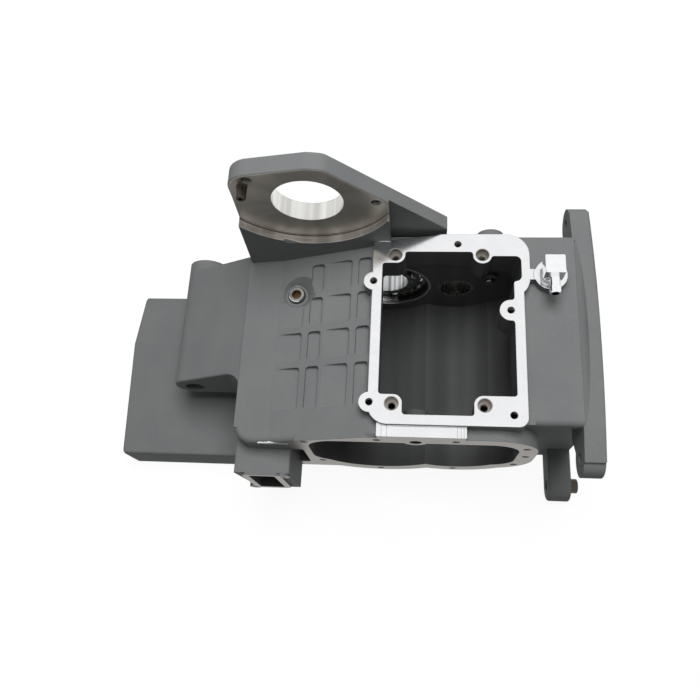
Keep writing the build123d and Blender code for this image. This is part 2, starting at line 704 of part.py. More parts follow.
def starter_flange():
    """Upright flange for the starter motor, its face cut back round the motor's nose."""
    outline = starter_outline()
    wall = prism_y(outline, STARTER_FACE_Y, STARTER_BACK_Y)
    nose = Pos(STARTER_X - SPOT_SHIFT, SPOT_Z) * Circle(SPOT_R)
    foot = (outline - nose) & span(STARTER_X - 2 * STARTER_LEFT, SPOT_RIGHT_X, PAN_Z, SPOT_Z - SPOT_R / 2)
    gusset = outline & span(SPOT_RIGHT_X, STARTER_X + 2 * STARTER_RIGHT, PAN_Z, STARTER_TOP_Z)
    wall -= prism_y(gusset, STARTER_FACE_Y, STARTER_FACE_Y + STARTER_GUSSET)
    wall += prism_y(foot, STARTER_FACE_Y - STARTER_FOOT, STARTER_BACK_Y)
    clear_of_deck = wall.edges().filter_by(lambda e: e.center().Z > STARTER_Z - STARTER_BORE_R)
    back = clear_of_deck.filter_by(lambda e: on_level(e.center().Y, STARTER_BACK_Y))
    wall = fillet(back, STARTER_BACK_R)
    upper = wall.edges().filter_by(lambda e: e.center().Z > STARTER_Z + STARTER_LEFT_LOW - CUT_OVER)
    front = upper.filter_by(lambda e: on_level(e.center().Y, STARTER_FACE_Y))
    return fillet(front.filter_by(lambda e: e.center().X < STARTER_X + SPOT_R / 2), STARTER_FRONT_R)


def engine_section():
    """Face in Y and Z of the engine flange: a crowned rim with an ear at each upper corner."""
    front = EAR_FRONT_Y - EAR_TIP
    back = EAR_BACK_Y + EAR_TIP
    low = EAR_UPPER_Z - EAR_SHOULDER
    neck = low - EAR_NECK
    crown = ThreePointArc((back, RIDGE_END_Z), ((back + front) / 2, RIDGE_CROWN_Z), (front, RIDGE_END_Z))
    sides = Polyline(crown @ 1, (front, low), (BODY_FRONT_Y, neck), (ENGINE_WALL_FRONT_Y, neck),
                     (ENGINE_WALL_FRONT_Y, ENGINE_WALL_BOTTOM_Z), (BACK_Y, ENGINE_WALL_BOTTOM_Z),
                     (BACK_Y, neck), (back, low), crown @ 0)
    face = make_face(crown + sides)
    for y in (EAR_BACK_Y, EAR_FRONT_Y):
        face += Pos(y, EAR_UPPER_Z) * Circle(EAR_R)
    return face


def lower_arm(lug_y, root_y):
    """Lower arm of the engine flange with its round lug."""
    x0 = ENGINE_INNER_X - LEG_EXTRA
    face = span(root_y, lug_y, EAR_LOWER_Z - EAR_R, EAR_LOWER_Z + EAR_R)
    face += Pos(lug_y, EAR_LOWER_Z) * Circle(EAR_R)
    arm = prism_x(face, x0, ENGINE_FACE_X)
    long_edges = arm.edges().filter_by(Axis.Y)
    return fillet(long_edges, LEG_EDGE_R)


def engine_side():
    """Bay under the right end of the deck with the engine flange on its open side."""
    x0 = GEAR_RIGHT_X - CUT_OVER
    x1 = ENGINE_INNER_X + CUT_OVER
    deck = prism_y(span(x0, x1, DECK_Z - ENGINE_DECK_THICK, DECK_Z), BODY_FRONT_Y, BACK_Y)
    deck = fillet(deck.edges().filter_by(Axis.X).group_by(Axis.Y)[0], ENGINE_DECK_R)
    walls = span(PAN_RIGHT_X - CUT_OVER, x1, ENGINE_WALL_BOTTOM_Z, DECK_Z - ENGINE_DECK_R)
    plate = prism_x(engine_section(), ENGINE_INNER_X, ENGINE_FACE_X) - ridge_cut()
    outer = plate.edges().filter_by(lambda e: on_level(e.center().X, ENGINE_FACE_X))
    plate = fillet(outer.filter_by(lambda e: e.center().Z > EAR_UPPER_Z - EAR_NECK), ENGINE_EDGE_R)
    arms = lower_arm(EAR_FRONT_Y, ENGINE_WALL_FRONT_Y + LEG_ROOT) + lower_arm(EAR_BACK_Y, BACK_Y - LEG_ROOT)
    return deck + prism_y(walls, ENGINE_WALL_FRONT_Y, BACK_Y) + plate + arms


def ridge_cut():
    """Concave fillet that runs from the deck up to the ridge of the engine flange."""
    ridge_x = ENGINE_FACE_X - RIDGE_TOP
    start_x = ridge_x - RIDGE_FILLET_R
    low = DECK_Z - RIDGE_SINK
    scoop = Pos(start_x, low + RIDGE_FILLET_R) * Circle(RIDGE_FILLET_R)
    beside = span(GEAR_RIGHT_X, start_x + CUT_OVER, low, RIDGE_CROWN_Z + CUT_OVER)
    over = span(start_x, ridge_x, low + RIDGE_FILLET_R, RIDGE_CROWN_Z + RIDGE_FILLET_R)
    return prism_y(scoop + beside + over, BODY_FRONT_Y + RIDGE_FRONT, BACK_Y - RIDGE_BACK)


def engine_pocket():
    """Open pocket of the engine bay, with two upright webs left in it."""
    front = ENGINE_WALL_FRONT_Y + ENGINE_RIM
    back = BACK_Y - ENGINE_RIM
    section = rounded_span(front, back, ENGINE_WALL_BOTTOM_Z + ENGINE_RIM, ENGINE_POCKET_TOP_Z, ENGINE_POCKET_R)
    pocket = prism_x(section, GEAR_RIGHT_X + CUT_OVER, ENGINE_FACE_X)
    for part in (1, 2):
        y = ENGINE_WALL_FRONT_Y + part * (BACK_Y - ENGINE_WALL_FRONT_Y) / 3
        web = span(y - ENGINE_WEB / 2, y + ENGINE_WEB / 2, ENGINE_WALL_BOTTOM_Z, DECK_Z)
        pocket -= prism_x(web, GEAR_RIGHT_X, ENGINE_FACE_X - ENGINE_WEB_SET_BACK)
    return pocket


def back_bosses():
    """Round bosses on the starter side for the shaft bearings and the primary case screws."""
    solid = rod_y(0, 0, BEARING_OUTER_R + BEARING_BOSS, BACK_Y, BOSS_FACE_Y)
    solid += rod_y(COUNTER_X, COUNTER_Z, CUP_R + CUP_BOSS, BACK_Y, BOSS_FACE_Y - CUP_BOSS_STEP)
    for x, z in primary_places():
        solid += rod_y(x, z, PRIMARY_BOSS_R, BACK_Y, BOSS_FACE_Y)
    return solid + rod_y(SMALL_BOSS_X, DECK_Z - PRIMARY_TOP_DROP, SMALL_BOSS_R, BACK_Y, BOSS_FACE_Y - SMALL_BOSS_STEP)


def primary_places():
    """Screws of the primary case on the starter side."""
    return [(PRIMARY_TOP_X, DECK_Z - PRIMARY_TOP_DROP), *PRIMARY_LOW_SCREWS]


def pocket_columns():
    """Left and right edge of each pocket column and its depth at the left edge, narrow and wide by turns."""
    right = FRAME_LEFT_X - POCKET_INSET
    columns = []
    for _ in range(2):
        left = right - POCKET_NARROW
        columns.append((left, right, POCKET_DEEP))
        columns.append((left - POCKET_RIB - POCKET_WIDE, left - POCKET_RIB, 0.0))
        right = left - POCKET_RIB - POCKET_WIDE - POCKET_GAP
    return columns


def pocket_rows():
    """Front and back edge of each pocket row, the front row the longest."""
    ends = [POCKET_FRONT_Y + POCKET_FRONT_LENGTH + row * POCKET_PITCH_Y for row in range(POCKET_ROWS)]
    starts = [POCKET_FRONT_Y] + [end + POCKET_RIB for end in ends[:-1]]
    return list(zip(starts, ends))


def deck_pockets():
    """Grid of draft pockets in the sloping deck, their floors less steep than the deck."""
    cuts = []
    rise = math.tan(math.radians(POCKET_FLOOR_SLOPE))
    for x0, x1, depth in pocket_columns():
        for y0, y1 in pocket_rows():
            if x0 < PLUG_X < x1 and y0 < PLUG_Y < y1:
                continue
            floor = deck_height(x0) - depth
            section = polygon([(x0, floor), (x1, floor + (x1 - x0) * rise), (x1, TOP_Z), (x0, TOP_Z)])
            cut = prism_y(section, y0, y1)
            cut = fillet(cut.edges().filter_by(Axis.Z), POCKET_CORNER_R)
            cuts.append(fillet(cut.faces().sort_by(Axis.Z)[0].edges(), POCKET_FLOOR_R))
    return Part() + cuts


def plug_floor():
    """Height of the plug recess floor."""
    return deck_height(PLUG_X) - PLUG_RECESS_DEPTH


def plug_recess():
    """Round recess with a sloping side, cut level into the deck for the plug."""
    floor = plug_floor()
    side = (PLUG_RECESS_R - PLUG_RECESS_FLOOR_R) / PLUG_RECESS_DEPTH
    height = TOP_Z - floor
    profile = polygon([(0, 0), (PLUG_RECESS_FLOOR_R, 0), (PLUG_RECESS_FLOOR_R + side * height, height), (0, height)])
    return Pos(PLUG_X, PLUG_Y, floor) * revolve(Plane.XZ * profile, Axis.Z)


def plug_boss():
    """Boss inside the riser that the plug is screwed into."""
    floor = plug_floor()
    return rod_z(PLUG_X, PLUG_Y, PLUG_BOSS_R, floor - PLUG_LENGTH, floor)


def cover_holes():
    """Tapped holes of the top cover, with a seat for a ring dowel at each corner of the rectangle."""
    low = TOP_Z - COVER_HOLE_DEPTH
    cuts = [rod_z(x, y, COVER_HOLE_R, low, TOP_Z) for x, y in ear_places() + band_places() + dowel_places()]
    return cuts + [rod_z(x, y, RING_DOWEL_R, TOP_Z - RING_DOWEL_DEPTH, TOP_Z) for x, y in dowel_places()]


def side_holes():
    """Holes in the rim of the side opening and in the filler port's face."""
    y1 = COVER_FACE_Y + SIDE_HOLE_DEPTH
    cuts = [rod_y(x, z, SIDE_HOLE_R, COVER_FACE_Y, y1) for x, z in side_hole_places()]
    cuts.append(rod_y(*shift_hole_place(), SHIFT_HOLE_R, COVER_FACE_Y, y1))
    port_end = PORT_FACE_Y + PORT_SCREW_DEPTH
    return cuts + [rod_y(x, z, PORT_SCREW_R, PORT_FACE_Y, port_end) for x, z in port_screws()]


def shift_hole_place():
    """Shift fork shaft's hole in the upper rim of the side opening."""
    return (SHIFT_HOLE_X, CHAMBER_TOP_Z + SHIFT_HOLE_RISE)


def starter_holes():
    """Bore, screw holes and dowel seat of the starter flange, and the primary case's screw holes."""
    y0 = STARTER_FACE_Y - STARTER_FOOT - CUT_OVER
    y1 = STARTER_BACK_Y + CUT_OVER
    cuts = [rod_y(STARTER_X, STARTER_Z, STARTER_BORE_R, y0, y1)]
    cuts += [rod_y(x, z, STARTER_SCREW_R, y0, y1) for x, z in starter_screws()]
    seat = STARTER_FACE_Y + STARTER_DOWEL_LENGTH - STARTER_DOWEL_PROUD
    cuts.append(rod_y(*starter_dowel_place(), STARTER_DOWEL_R, STARTER_FACE_Y, seat))
    start = BOSS_FACE_Y - PRIMARY_SCREW_DEPTH
    return cuts + [rod_y(x, z, PRIMARY_SCREW_R, start, BOSS_FACE_Y) for x, z in primary_places()]


def engine_holes():
    """Bolt holes of the engine flange, the lower two with seats for their sleeves."""
    x0 = ENGINE_INNER_X - LEG_EXTRA - CUT_OVER
    x1 = ENGINE_FACE_X + CUT_OVER
    cuts = [rod_x(y, z, EAR_HOLE_R, x0, x1) for y in (EAR_BACK_Y, EAR_FRONT_Y) for z in (EAR_UPPER_Z, EAR_LOWER_Z)]
    return cuts + [rod_x(y, EAR_LOWER_Z, SLEEVE_R, SLEEVE_SEAT_X, x1) for y in (EAR_BACK_Y, EAR_FRONT_Y)]


def vent_holes():
    """The vent's lowered seat and blind hole, and the drilling to the gear chamber through the frame's neck."""
    low = VENT_SEAT_Z - VENT_HOLE_DEPTH
    seat = rod_z(VENT_X, VENT_Y, VENT_PAD_R + CUT_OVER, VENT_SEAT_Z, TOP_Z + CUT_OVER)
    passage = rod_x(VENT_Y, VENT_PASSAGE_Z, VENT_PASSAGE_R, FRAME_SHOULDER_X - 2 * FRAME_BAND, VENT_X)
    return [seat, rod_z(VENT_X, VENT_Y, VENT_SHANK_R, low, TOP_Z + CUT_OVER), passage]


def case_holes():
    """All drilled and bored holes of the casting."""
    cuts = cover_holes() + side_holes() + starter_holes() + engine_holes() + vent_holes()
    cuts.append(rod_y(PIVOT_X, PIVOT_Z, PIVOT_BORE_R, PIVOT_NEAR_Y - CUT_OVER, PIVOT_FAR_Y + CUT_OVER))
    cuts += [rod_z(x, y, PAN_SCREW_R, PAN_Z, PAN_Z + PAN_SCREW_DEPTH) for x, y in pan_screws()]
    floor = plug_floor()
    cuts.append(rod_z(PLUG_X, PLUG_Y, PLUG_R, floor - PLUG_LENGTH - CUT_OVER, floor + CUT_OVER))
    return Part() + cuts


def bearing_seats():
    """Bores of the two shafts and the shift details in the back wall."""
    ring_y0 = -BEARING_WIDTH - RING_THICK
    pin_y0 = WALL_IN_Y - SHIFT_BOSS_LENGTH
    cuts = [
        rod_y(0, 0, BEARING_OUTER_R - SEAT_LIP, WALL_IN_Y - CUT_OVER, BOSS_FACE_Y + CUT_OVER),
        rod_y(0, 0, BEARING_OUTER_R, ring_y0 - SEAT_LEAD, 0.0),
        rod_y(0, 0, BEARING_OUTER_R + RING_GROOVE, ring_y0 - RING_EDGE_PLAY, -BEARING_WIDTH),
        rod_y(COUNTER_X, COUNTER_Z, CUP_R, WALL_IN_Y - CUT_OVER, WALL_IN_Y + CUP_LENGTH),
        rod_y(SHIFT_PIN_X, SHIFT_PIN_Z, SHIFT_PIN_R, pin_y0, pin_y0 - SHIFT_PIN_PROUD + SHIFT_PIN_LENGTH),
    ]
    cuts += [rod_y(x, FORK_HOLE_Z, FORK_HOLE_R, WALL_IN_Y - CUT_OVER, WALL_IN_Y + FORK_HOLE_DEPTH) for x in FORK_HOLE_X]
    return Part() + cuts


def starter_screws():
    """Holes of the starter motor's screws."""
    return [(STARTER_X + dx, STARTER_Z + dz) for dx, dz in STARTER_SCREWS]


def starter_dowel_place():
    """Dowel of the starter flange, below its left screw."""
    return (STARTER_X + STARTER_DOWEL_AT[0], STARTER_Z + STARTER_DOWEL_AT[1])


def port_screws():
    """Screws of the filler neck at opposite corners of its face."""
    return [(PORT_RIGHT_X - PORT_EAR_R, PORT_TOP_Z - PORT_EAR_R), (PORT_LEFT_X + PORT_LEAN, PORT_LOW_Z + PORT_EAR_R)]


def pan_screws():
    """Screws of the oil pan along both long edges of its rim, under the tail and under the case."""
    inset = PAN_RIM / 2
    tail = [(x, y) for x in PAN_TAIL_SCREWS for y in (SUMP_FRONT_Y + inset, SUMP_BACK_Y - inset)]
    case = [(x, y) for x in PAN_CASE_SCREWS for y in (BODY_FRONT_Y + inset, BACK_Y - inset)]
    return tail + case


def housing():
    """The casting as one solid."""
    frame = frame_outline()
    body = main_block() + side_flange() + engine_side() + sump_tail() + pivot_boss()
    body += filler_port() + starter_flange() + back_bosses() + number_pad()
    body += prism_z(frame, DECK_Z - FRAME_SKIRT, TOP_Z)
    body -= deck_pockets() - prism_z(frame, PAN_Z, TOP_Z + CUT_OVER)
    body -= sump_chamber()
    body += plug_boss()
    body -= plug_recess()
    body -= engine_pocket()
    body -= prism_y(chamber_outline(), COVER_FACE_Y - CUT_OVER, WALL_IN_Y)
    body -= prism_z(frame_opening(), CHAMBER_TOP_Z - CHAMBER_CORNER_R, TOP_Z + CUT_OVER)
    ear_end = COVER_FACE_Y + SHIFT_EAR_LENGTH
    body += rod_y(*shift_hole_place(), SHIFT_HOLE_R + SHIFT_EAR, COVER_FACE_Y, ear_end)
    body += rod_y(SHIFT_PIN_X, SHIFT_PIN_Z, SHIFT_BOSS_R, WALL_IN_Y - SHIFT_BOSS_LENGTH, WALL_IN_Y + CUT_OVER)
    return body - port_slot() - nook() - bearing_seats() - case_holes()


def ring_y(outer, inner, y0, y1, x=0.0, z=0.0):
    """Plain ring about an axis along Y."""
    return rod_y(x, z, outer, y0, y1) - rod_y(x, z, inner, y0 - CUT_OVER, y1 + CUT_OVER)


def ball_groove():
    """Ring-shaped space that the balls roll in."""
    profile = Pos(BALL_PITCH_R, -BEARING_WIDTH / 2) * Circle(BALL_R + RUNNING_FIT)
    return revolve(Plane.XY * profile, Axis.Y)


def main_bearing_outer_ring():
    """Outer ring of the main bearing."""
    ring = ring_y(BEARING_OUTER_R, BEARING_OUTER_R - BEARING_RACE, -BEARING_WIDTH, 0.0)
    return ring - ball_groove()


def main_bearing_inner_ring():
    """Inner ring of the main bearing."""
    ring = ring_y(BEARING_BORE_R + BEARING_RACE, BEARING_BORE_R, -BEARING_WIDTH, 0.0)
    return ring - ball_groove()


def ball_angles():
    """Angles of the balls round the shaft."""
    return [360.0 / BALL_COUNT * i for i in range(BALL_COUNT)]


def main_bearing_balls():
    """The balls, each its own solid."""
    balls = []
    for angle in ball_angles():
        x = BALL_PITCH_R * math.cos(math.radians(angle))
        z = BALL_PITCH_R * math.sin(math.radians(angle))
        balls.append(Pos(x, -BEARING_WIDTH / 2, z) * Sphere(BALL_R))
    return Compound(children=balls)


def main_bearing_cage():
    """Cage ring with a round pocket for each ball."""
    middle = -BEARING_WIDTH / 2
    cage = ring_y(BALL_PITCH_R + CAGE_THICK, BALL_PITCH_R - CAGE_THICK, middle - CAGE_WIDTH / 2,
                  middle + CAGE_WIDTH / 2)
    pocket = BALL_R + ROLLER_PLAY
    for angle in ball_angles():
        hole = Rot(0, -angle, 0) * (Pos(BALL_PITCH_R, middle, 0) * (Rot(0, 90, 0) * Cylinder(pocket, 4 * CAGE_THICK)))
        cage -= hole
    return cage


def main_bearing_retaining_ring():
    """Split retaining ring inside the bearing seat."""
    outer = BEARING_OUTER_R + RING_GROOVE - RING_EDGE_PLAY
    inner = outer - RING_DEPTH
    ring = ring_y(outer, inner, -BEARING_WIDTH - RING_THICK, -BEARING_WIDTH)
    half = math.radians(RING_GAP_ANGLE / 2)
    far_x = 2 * outer * math.sin(half)
    far_z = -2 * outer * math.cos(half)
    gap = polygon([(0, 0), (-far_x, far_z), (far_x, far_z)])
    return ring - prism_y(gap, -BEARING_WIDTH - RING_THICK - CUT_OVER, -BEARING_WIDTH + CUT_OVER)


def countershaft_cup():
    """Drawn cup of the countershaft needle bearing, closed at its outer end."""
    y0 = WALL_IN_Y
    y1 = WALL_IN_Y + CUP_LENGTH
    cup = rod_y(COUNTER_X, COUNTER_Z, CUP_R, y0, y1)
    cup -= rod_y(COUNTER_X, COUNTER_Z, CUP_R - CUP_WALL, y0 + CUP_WALL, y1 - CUP_WALL)
    return cup - rod_y(COUNTER_X, COUNTER_Z, CUP_R - 2 * CUP_WALL, y0 - CUT_OVER, y0 + CUP_WALL + CUT_OVER)


def needle_pitch_r():
    """Radius from the countershaft axis to the needles."""
    return CUP_R - CUP_WALL - NEEDLE_R - RUNNING_FIT


def needle_span():
    """Start and end of the needles along Y."""
    return WALL_IN_Y + 2 * CUP_WALL, WALL_IN_Y + CUP_LENGTH - 2 * CUP_WALL


def needle_places():
    """Centres of the needles in X and Z."""
    pitch = needle_pitch_r()
    turn = 2 * math.pi / NEEDLE_COUNT
    return [(COUNTER_X + pitch * math.cos(i * turn), COUNTER_Z + pitch * math.sin(i * turn))
            for i in range(NEEDLE_COUNT)]


def countershaft_needles():
    """The needles, each its own solid."""
    y0, y1 = needle_span()
    return Compound(children=[rod_y(x, z, NEEDLE_R, y0, y1) for x, z in needle_places()])


def countershaft_cage():
    """Needle cage: a thin sleeve with a slot for each needle."""
    y0, y1 = needle_span()
    pitch = needle_pitch_r()
    cage = ring_y(pitch + NEEDLE_CAGE_OUT, pitch - NEEDLE_CAGE_IN, y0 - NEEDLE_CAGE_END, y1 + NEEDLE_CAGE_END,
                  COUNTER_X, COUNTER_Z)
    for x, z in needle_places():
        cage -= rod_y(x, z, NEEDLE_R + ROLLER_PLAY, y0 - ROLLER_END_PLAY, y1 + ROLLER_END_PLAY)
    return cage


def shift_pin():
    """Steel locating pin of the shifter, pressed into its boss."""
    y0 = WALL_IN_Y - SHIFT_BOSS_LENGTH - SHIFT_PIN_PROUD
    pin = rod_y(SHIFT_PIN_X, SHIFT_PIN_Z, SHIFT_PIN_R, y0, y0 + SHIFT_PIN_LENGTH)
    return chamfer(pin.edges().group_by(Axis.Y)[0], SHIFT_PIN_CHAMFER)


def vent_washer():
    """Sealing washer under the vent elbow."""
    top = VENT_SEAT_Z + VENT_WASHER_THICK
    washer = rod_z(VENT_X, VENT_Y, VENT_WASHER_R, VENT_SEAT_Z, top)
    return washer - rod_z(VENT_X, VENT_Y, VENT_SHANK_R, VENT_SEAT_Z - CUT_OVER, top + CUT_OVER)


def vent_middle():
    """Height of the vent block's middle."""
    return VENT_SEAT_Z + VENT_WASHER_THICK + VENT_BLOCK_Z + VENT_BLOCK / 2


def vent_elbow():
    """Square block with a round neck and a threaded shank, drilled from below to the barb."""
    low = VENT_SEAT_Z + VENT_WASHER_THICK
    shank_end = VENT_SEAT_Z - VENT_SHANK_LENGTH
    block = Pos(VENT_X, VENT_Y, vent_middle()) * Box(VENT_BLOCK, VENT_BLOCK, VENT_BLOCK)
    block = chamfer(block.edges(), VENT_BLOCK_CHAMFER)
    neck = rod_z(VENT_X, VENT_Y, VENT_BLOCK / 2, low, low + VENT_BLOCK_Z + CUT_OVER)
    elbow = block + neck + rod_z(VENT_X, VENT_Y, VENT_SHANK_R, shank_end, low + CUT_OVER)
    elbow -= rod_z(VENT_X, VENT_Y, BARB_BORE_R, shank_end - CUT_OVER, vent_middle())
    face = VENT_Y - VENT_BLOCK / 2
    elbow -= rod_y(VENT_X, vent_middle(), BARB_R, face, face + BARB_SEAT)
    return elbow - rod_y(VENT_X, vent_middle(), BARB_BORE_R, face, VENT_Y)


def vent_barb():
    """Turned hose barb pressed into the block."""
    seat = VENT_Y - VENT_BLOCK / 2 + BARB_SEAT
    tip = seat - BARB_SEAT - BARB_LENGTH
    ridge = tip + BARB_RIDGE
    crest = ridge - BARB_RIDGE_LENGTH
    profile = polygon([
        (BARB_BORE_R, seat), (BARB_R, seat), (BARB_R, ridge), (BARB_TIP_R, crest),
        (BARB_TIP_R, crest - BARB_RIDGE_FLAT), (BARB_R, tip + BARB_TIP_LENGTH),
        (BARB_R - BARB_TIP_STEP, tip), (BARB_BORE_R, tip),
    ])
    return Pos(VENT_X, 0, vent_middle()) * revolve(Plane.XY * profile, Axis.Y)


def deck_plug():
    """Plug with a hexagon socket in the deck recess."""
    seat = plug_floor() + PLUG_RING
    top = seat + PLUG_HEAD
    shank = rod_z(PLUG_X, PLUG_Y, PLUG_R, plug_floor() - PLUG_LENGTH, seat + CUT_OVER)
    head = rod_z(PLUG_X, PLUG_Y, PLUG_R + PLUG_HEAD_STEP, seat, top)
    head = chamfer(head.edges().group_by(Axis.Z)[-1], PLUG_CHAMFER)
    socket = Pos(PLUG_X, PLUG_Y) * RegularPolygon(PLUG_HEX / 2, 6, major_radius=False)
    return shank + head - prism_z(socket, top - PLUG_HEX_DEPTH, top + CUT_OVER)


def deck_plug_ring():
    """Sealing ring under the plug's head."""
    floor = plug_floor()
    ring = rod_z(PLUG_X, PLUG_Y, PLUG_R + PLUG_RING_STEP, floor, floor + PLUG_RING)
    return ring - rod_z(PLUG_X, PLUG_Y, PLUG_R, floor - CUT_OVER, floor + PLUG_RING + CUT_OVER)


def starter_dowel():
    """Steel dowel of the starter flange."""
    x, z = starter_dowel_place()
    y0 = STARTER_FACE_Y - STARTER_DOWEL_PROUD
    pin = rod_y(x, z, STARTER_DOWEL_R, y0, y0 + STARTER_DOWEL_LENGTH)
    pin = chamfer(pin.edges().group_by(Axis.Y)[0], STARTER_DOWEL_CHAMFER)
    return pin - rod_y(x, z, STARTER_DOWEL_BORE_R, y0 - CUT_OVER, y0 + STARTER_DOWEL_BORE)


def engine_sleeve(y):
    """Hollow dowel sleeve of a lower engine lug."""
    x1 = ENGINE_FACE_X + SLEEVE_PROUD
    sleeve = rod_x(y, EAR_LOWER_Z, SLEEVE_R, x1 - SLEEVE_LENGTH, x1)
    sleeve = chamfer(sleeve.edges().group_by(Axis.X)[-1], SLEEVE_CHAMFER)
    return sleeve - rod_x(y, EAR_LOWER_Z, SLEEVE_R - SLEEVE_WALL, x1 - SLEEVE_LENGTH - CUT_OVER, x1 + CUT_OVER)


def build():
    """Every sub-part by node name."""
    return {
        "housing": housing(),
        "main_bearing_outer_ring": main_bearing_outer_ring(),
        "main_bearing_inner_ring": main_bearing_inner_ring(),
        "main_bearing_balls": main_bearing_balls(),
        "main_bearing_cage": main_bearing_cage(),
        "main_bearing_retaining_ring": main_bearing_retaining_ring(),
        "countershaft_cup": countershaft_cup(),
        "countershaft_cage": countershaft_cage(),
        "countershaft_needles": countershaft_needles(),
        "shift_pin": shift_pin(),
        "vent_washer": vent_washer(),
        "vent_elbow": vent_elbow(),
        "vent_barb": vent_barb(),
        "deck_plug": deck_plug(),
        "deck_plug_ring": deck_plug_ring(),
        "starter_dowel": starter_dowel(),
        "engine_sleeve_front": engine_sleeve(EAR_FRONT_Y),
        "engine_sleeve_back": engine_sleeve(EAR_BACK_Y),
    }


os.makedirs("parts", exist_ok=True)
for name, shape in build().items():
    export_step(shape, f"parts/{name}.step")
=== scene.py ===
import math

import bpy
from mathutils import Matrix, Vector


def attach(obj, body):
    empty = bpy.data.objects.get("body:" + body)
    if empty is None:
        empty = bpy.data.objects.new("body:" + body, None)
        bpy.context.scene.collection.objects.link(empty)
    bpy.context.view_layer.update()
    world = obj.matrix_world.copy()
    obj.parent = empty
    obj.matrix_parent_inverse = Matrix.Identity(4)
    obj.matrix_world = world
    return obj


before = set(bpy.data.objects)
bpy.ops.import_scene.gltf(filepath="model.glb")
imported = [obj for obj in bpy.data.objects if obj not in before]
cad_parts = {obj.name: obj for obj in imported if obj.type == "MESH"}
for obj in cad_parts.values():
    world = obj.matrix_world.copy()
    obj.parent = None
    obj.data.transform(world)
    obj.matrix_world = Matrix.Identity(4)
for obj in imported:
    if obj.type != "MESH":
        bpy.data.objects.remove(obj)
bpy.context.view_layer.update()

MM = 0.001

# All sizes below are millimetres in the part's frame, unless a name ends in _M for metres.
# Planes of the casting's machined faces, and how near a point has to be to lie on one
TOP_Z = 76.0
VENT_SEAT_Z = 75.5
PAN_Z = -114.0
SIDE_FACE_Y = -192.0
PORT_FACE_Y = -217.0
PORT_RIGHT_X = -79.0
BOSS_FACE_Y = 4.0
ENGINE_FACE_X = 186.5
ON_FACE = 0.15

# Least part of a surface's direction along an axis that makes it a face of that axis, the same for a wall with
# draft, and the most along an axis that makes it a wall that runs that way
FACES = 0.9
WALL_FACES = 0.8
RUNS_ALONG = 0.3

# Milled pad in front of the top frame, with the lines between the cutter's passes
PAD_X = (-0.2, 74.2)
PAD_Z = 72.0
PAD_FRONT_LOW_Z = 60.0
PAD_BACK_Y = -179.0
PAD_LINES = (4.2, 8.6, 66.2, 69.2, 71.6)

# Axes that run front to back, in x and z: main shaft, countershaft and starter
MAIN_AXIS = (0.0, 0.0)
COUNTER_AXIS = (69.0, -4.0)
STARTER_AXIS = (-61.0, 130.0)

# Starter flange: its front face, ledge and turned bore
STARTER_FACE_Y = -7.0
STARTER_FOOT_Y = -15.0
STARTER_BACK_Y = 10.0
STARTER_BORE_R = 30.5
STARTER_SPOT_RIGHT_X = 7.0
STARTER_LOW_Z = 70.0
LEDGE_LOW_Z = 62.0
# Width of the painted shade line on the ledge beside the front face
LEDGE_SHADE_WIDTH = 0.9
LEDGE_RISE = 0.1

# Sloping deck over the gear chamber
DECK_CREST_X = -6.0
DECK_CREST_Z = 67.0
DECK_SLOPE = math.radians(19.0)
DECK_THICK = 9.0

# Counterbores at the corners of the top cover's rectangle
COVER_X = (12.1, 88.3)
COVER_Y = (-164.9, -28.3)
COVER_BORE_R = 6.3
COVER_BORE_LOW_Z = 60.0

# Boxes round the hollows, each by its two corners
CHAMBER = ((-63.0, -191.9, -60.0), (123.0, -23.5, 49.5))
FRAME_WELL = ((0.0, -175.0, 49.0), (123.0, -24.0, 75.2))
PORT_WELL = ((-118.5, -216.9, -53.5), (-93.5, -165.0, 7.5))
# The floor's glow is left out over this box, a painted shadow under the open pan
PAN_HOLLOW = ((-261.0, -172.0, -115.0), (105.0, -17.0, -113.0))

# Bright bare strip on the front wall: from and to in x, its middle's height there, half its width, its point's length
# and share of the width at the tip
STRIP_X = (-107.0, -79.0)
STRIP_Z = (31.0, 32.0)
STRIP_HALF = 3.6
STRIP_POINT = 12.0
STRIP_TIP = 0.4

# Margins that keep a mask clear of the faces beside its own
MARGIN = 0.2
BORE_MARGIN = 0.4
STEP_MARGIN = 0.1
LEDGE_MARGIN = 0.05

# Seat of the main bearing, and the deck plug with its socket
SEAT_R = 45.0
SEAT_Y = (-26.0, 6.0)
PLUG_X = -81.0
PLUG_Y = -50.7
PLUG_SOCKET_R = 4.7

# Milling marks: their spacing, wider than a cutter's real 0.3 mm so that they show, the turn in radians and the
# distance of the centre that they are struck from, and a wave's period in its texture space, which is pi / 10
MARK_SPACING = 0.8
MARK_TURN = 0.6
MARK_CENTRE = 900.0
WAVE_PERIOD = 0.314

# Height of the grain of each surface and of the milling marks, and the rounding that breaks every edge
PAINT_HEIGHT = 0.10
RAW_HEIGHT = 0.12
METAL_HEIGHT = 0.01
MARK_HEIGHT = 0.005
EDGE_ROUND = 1.1

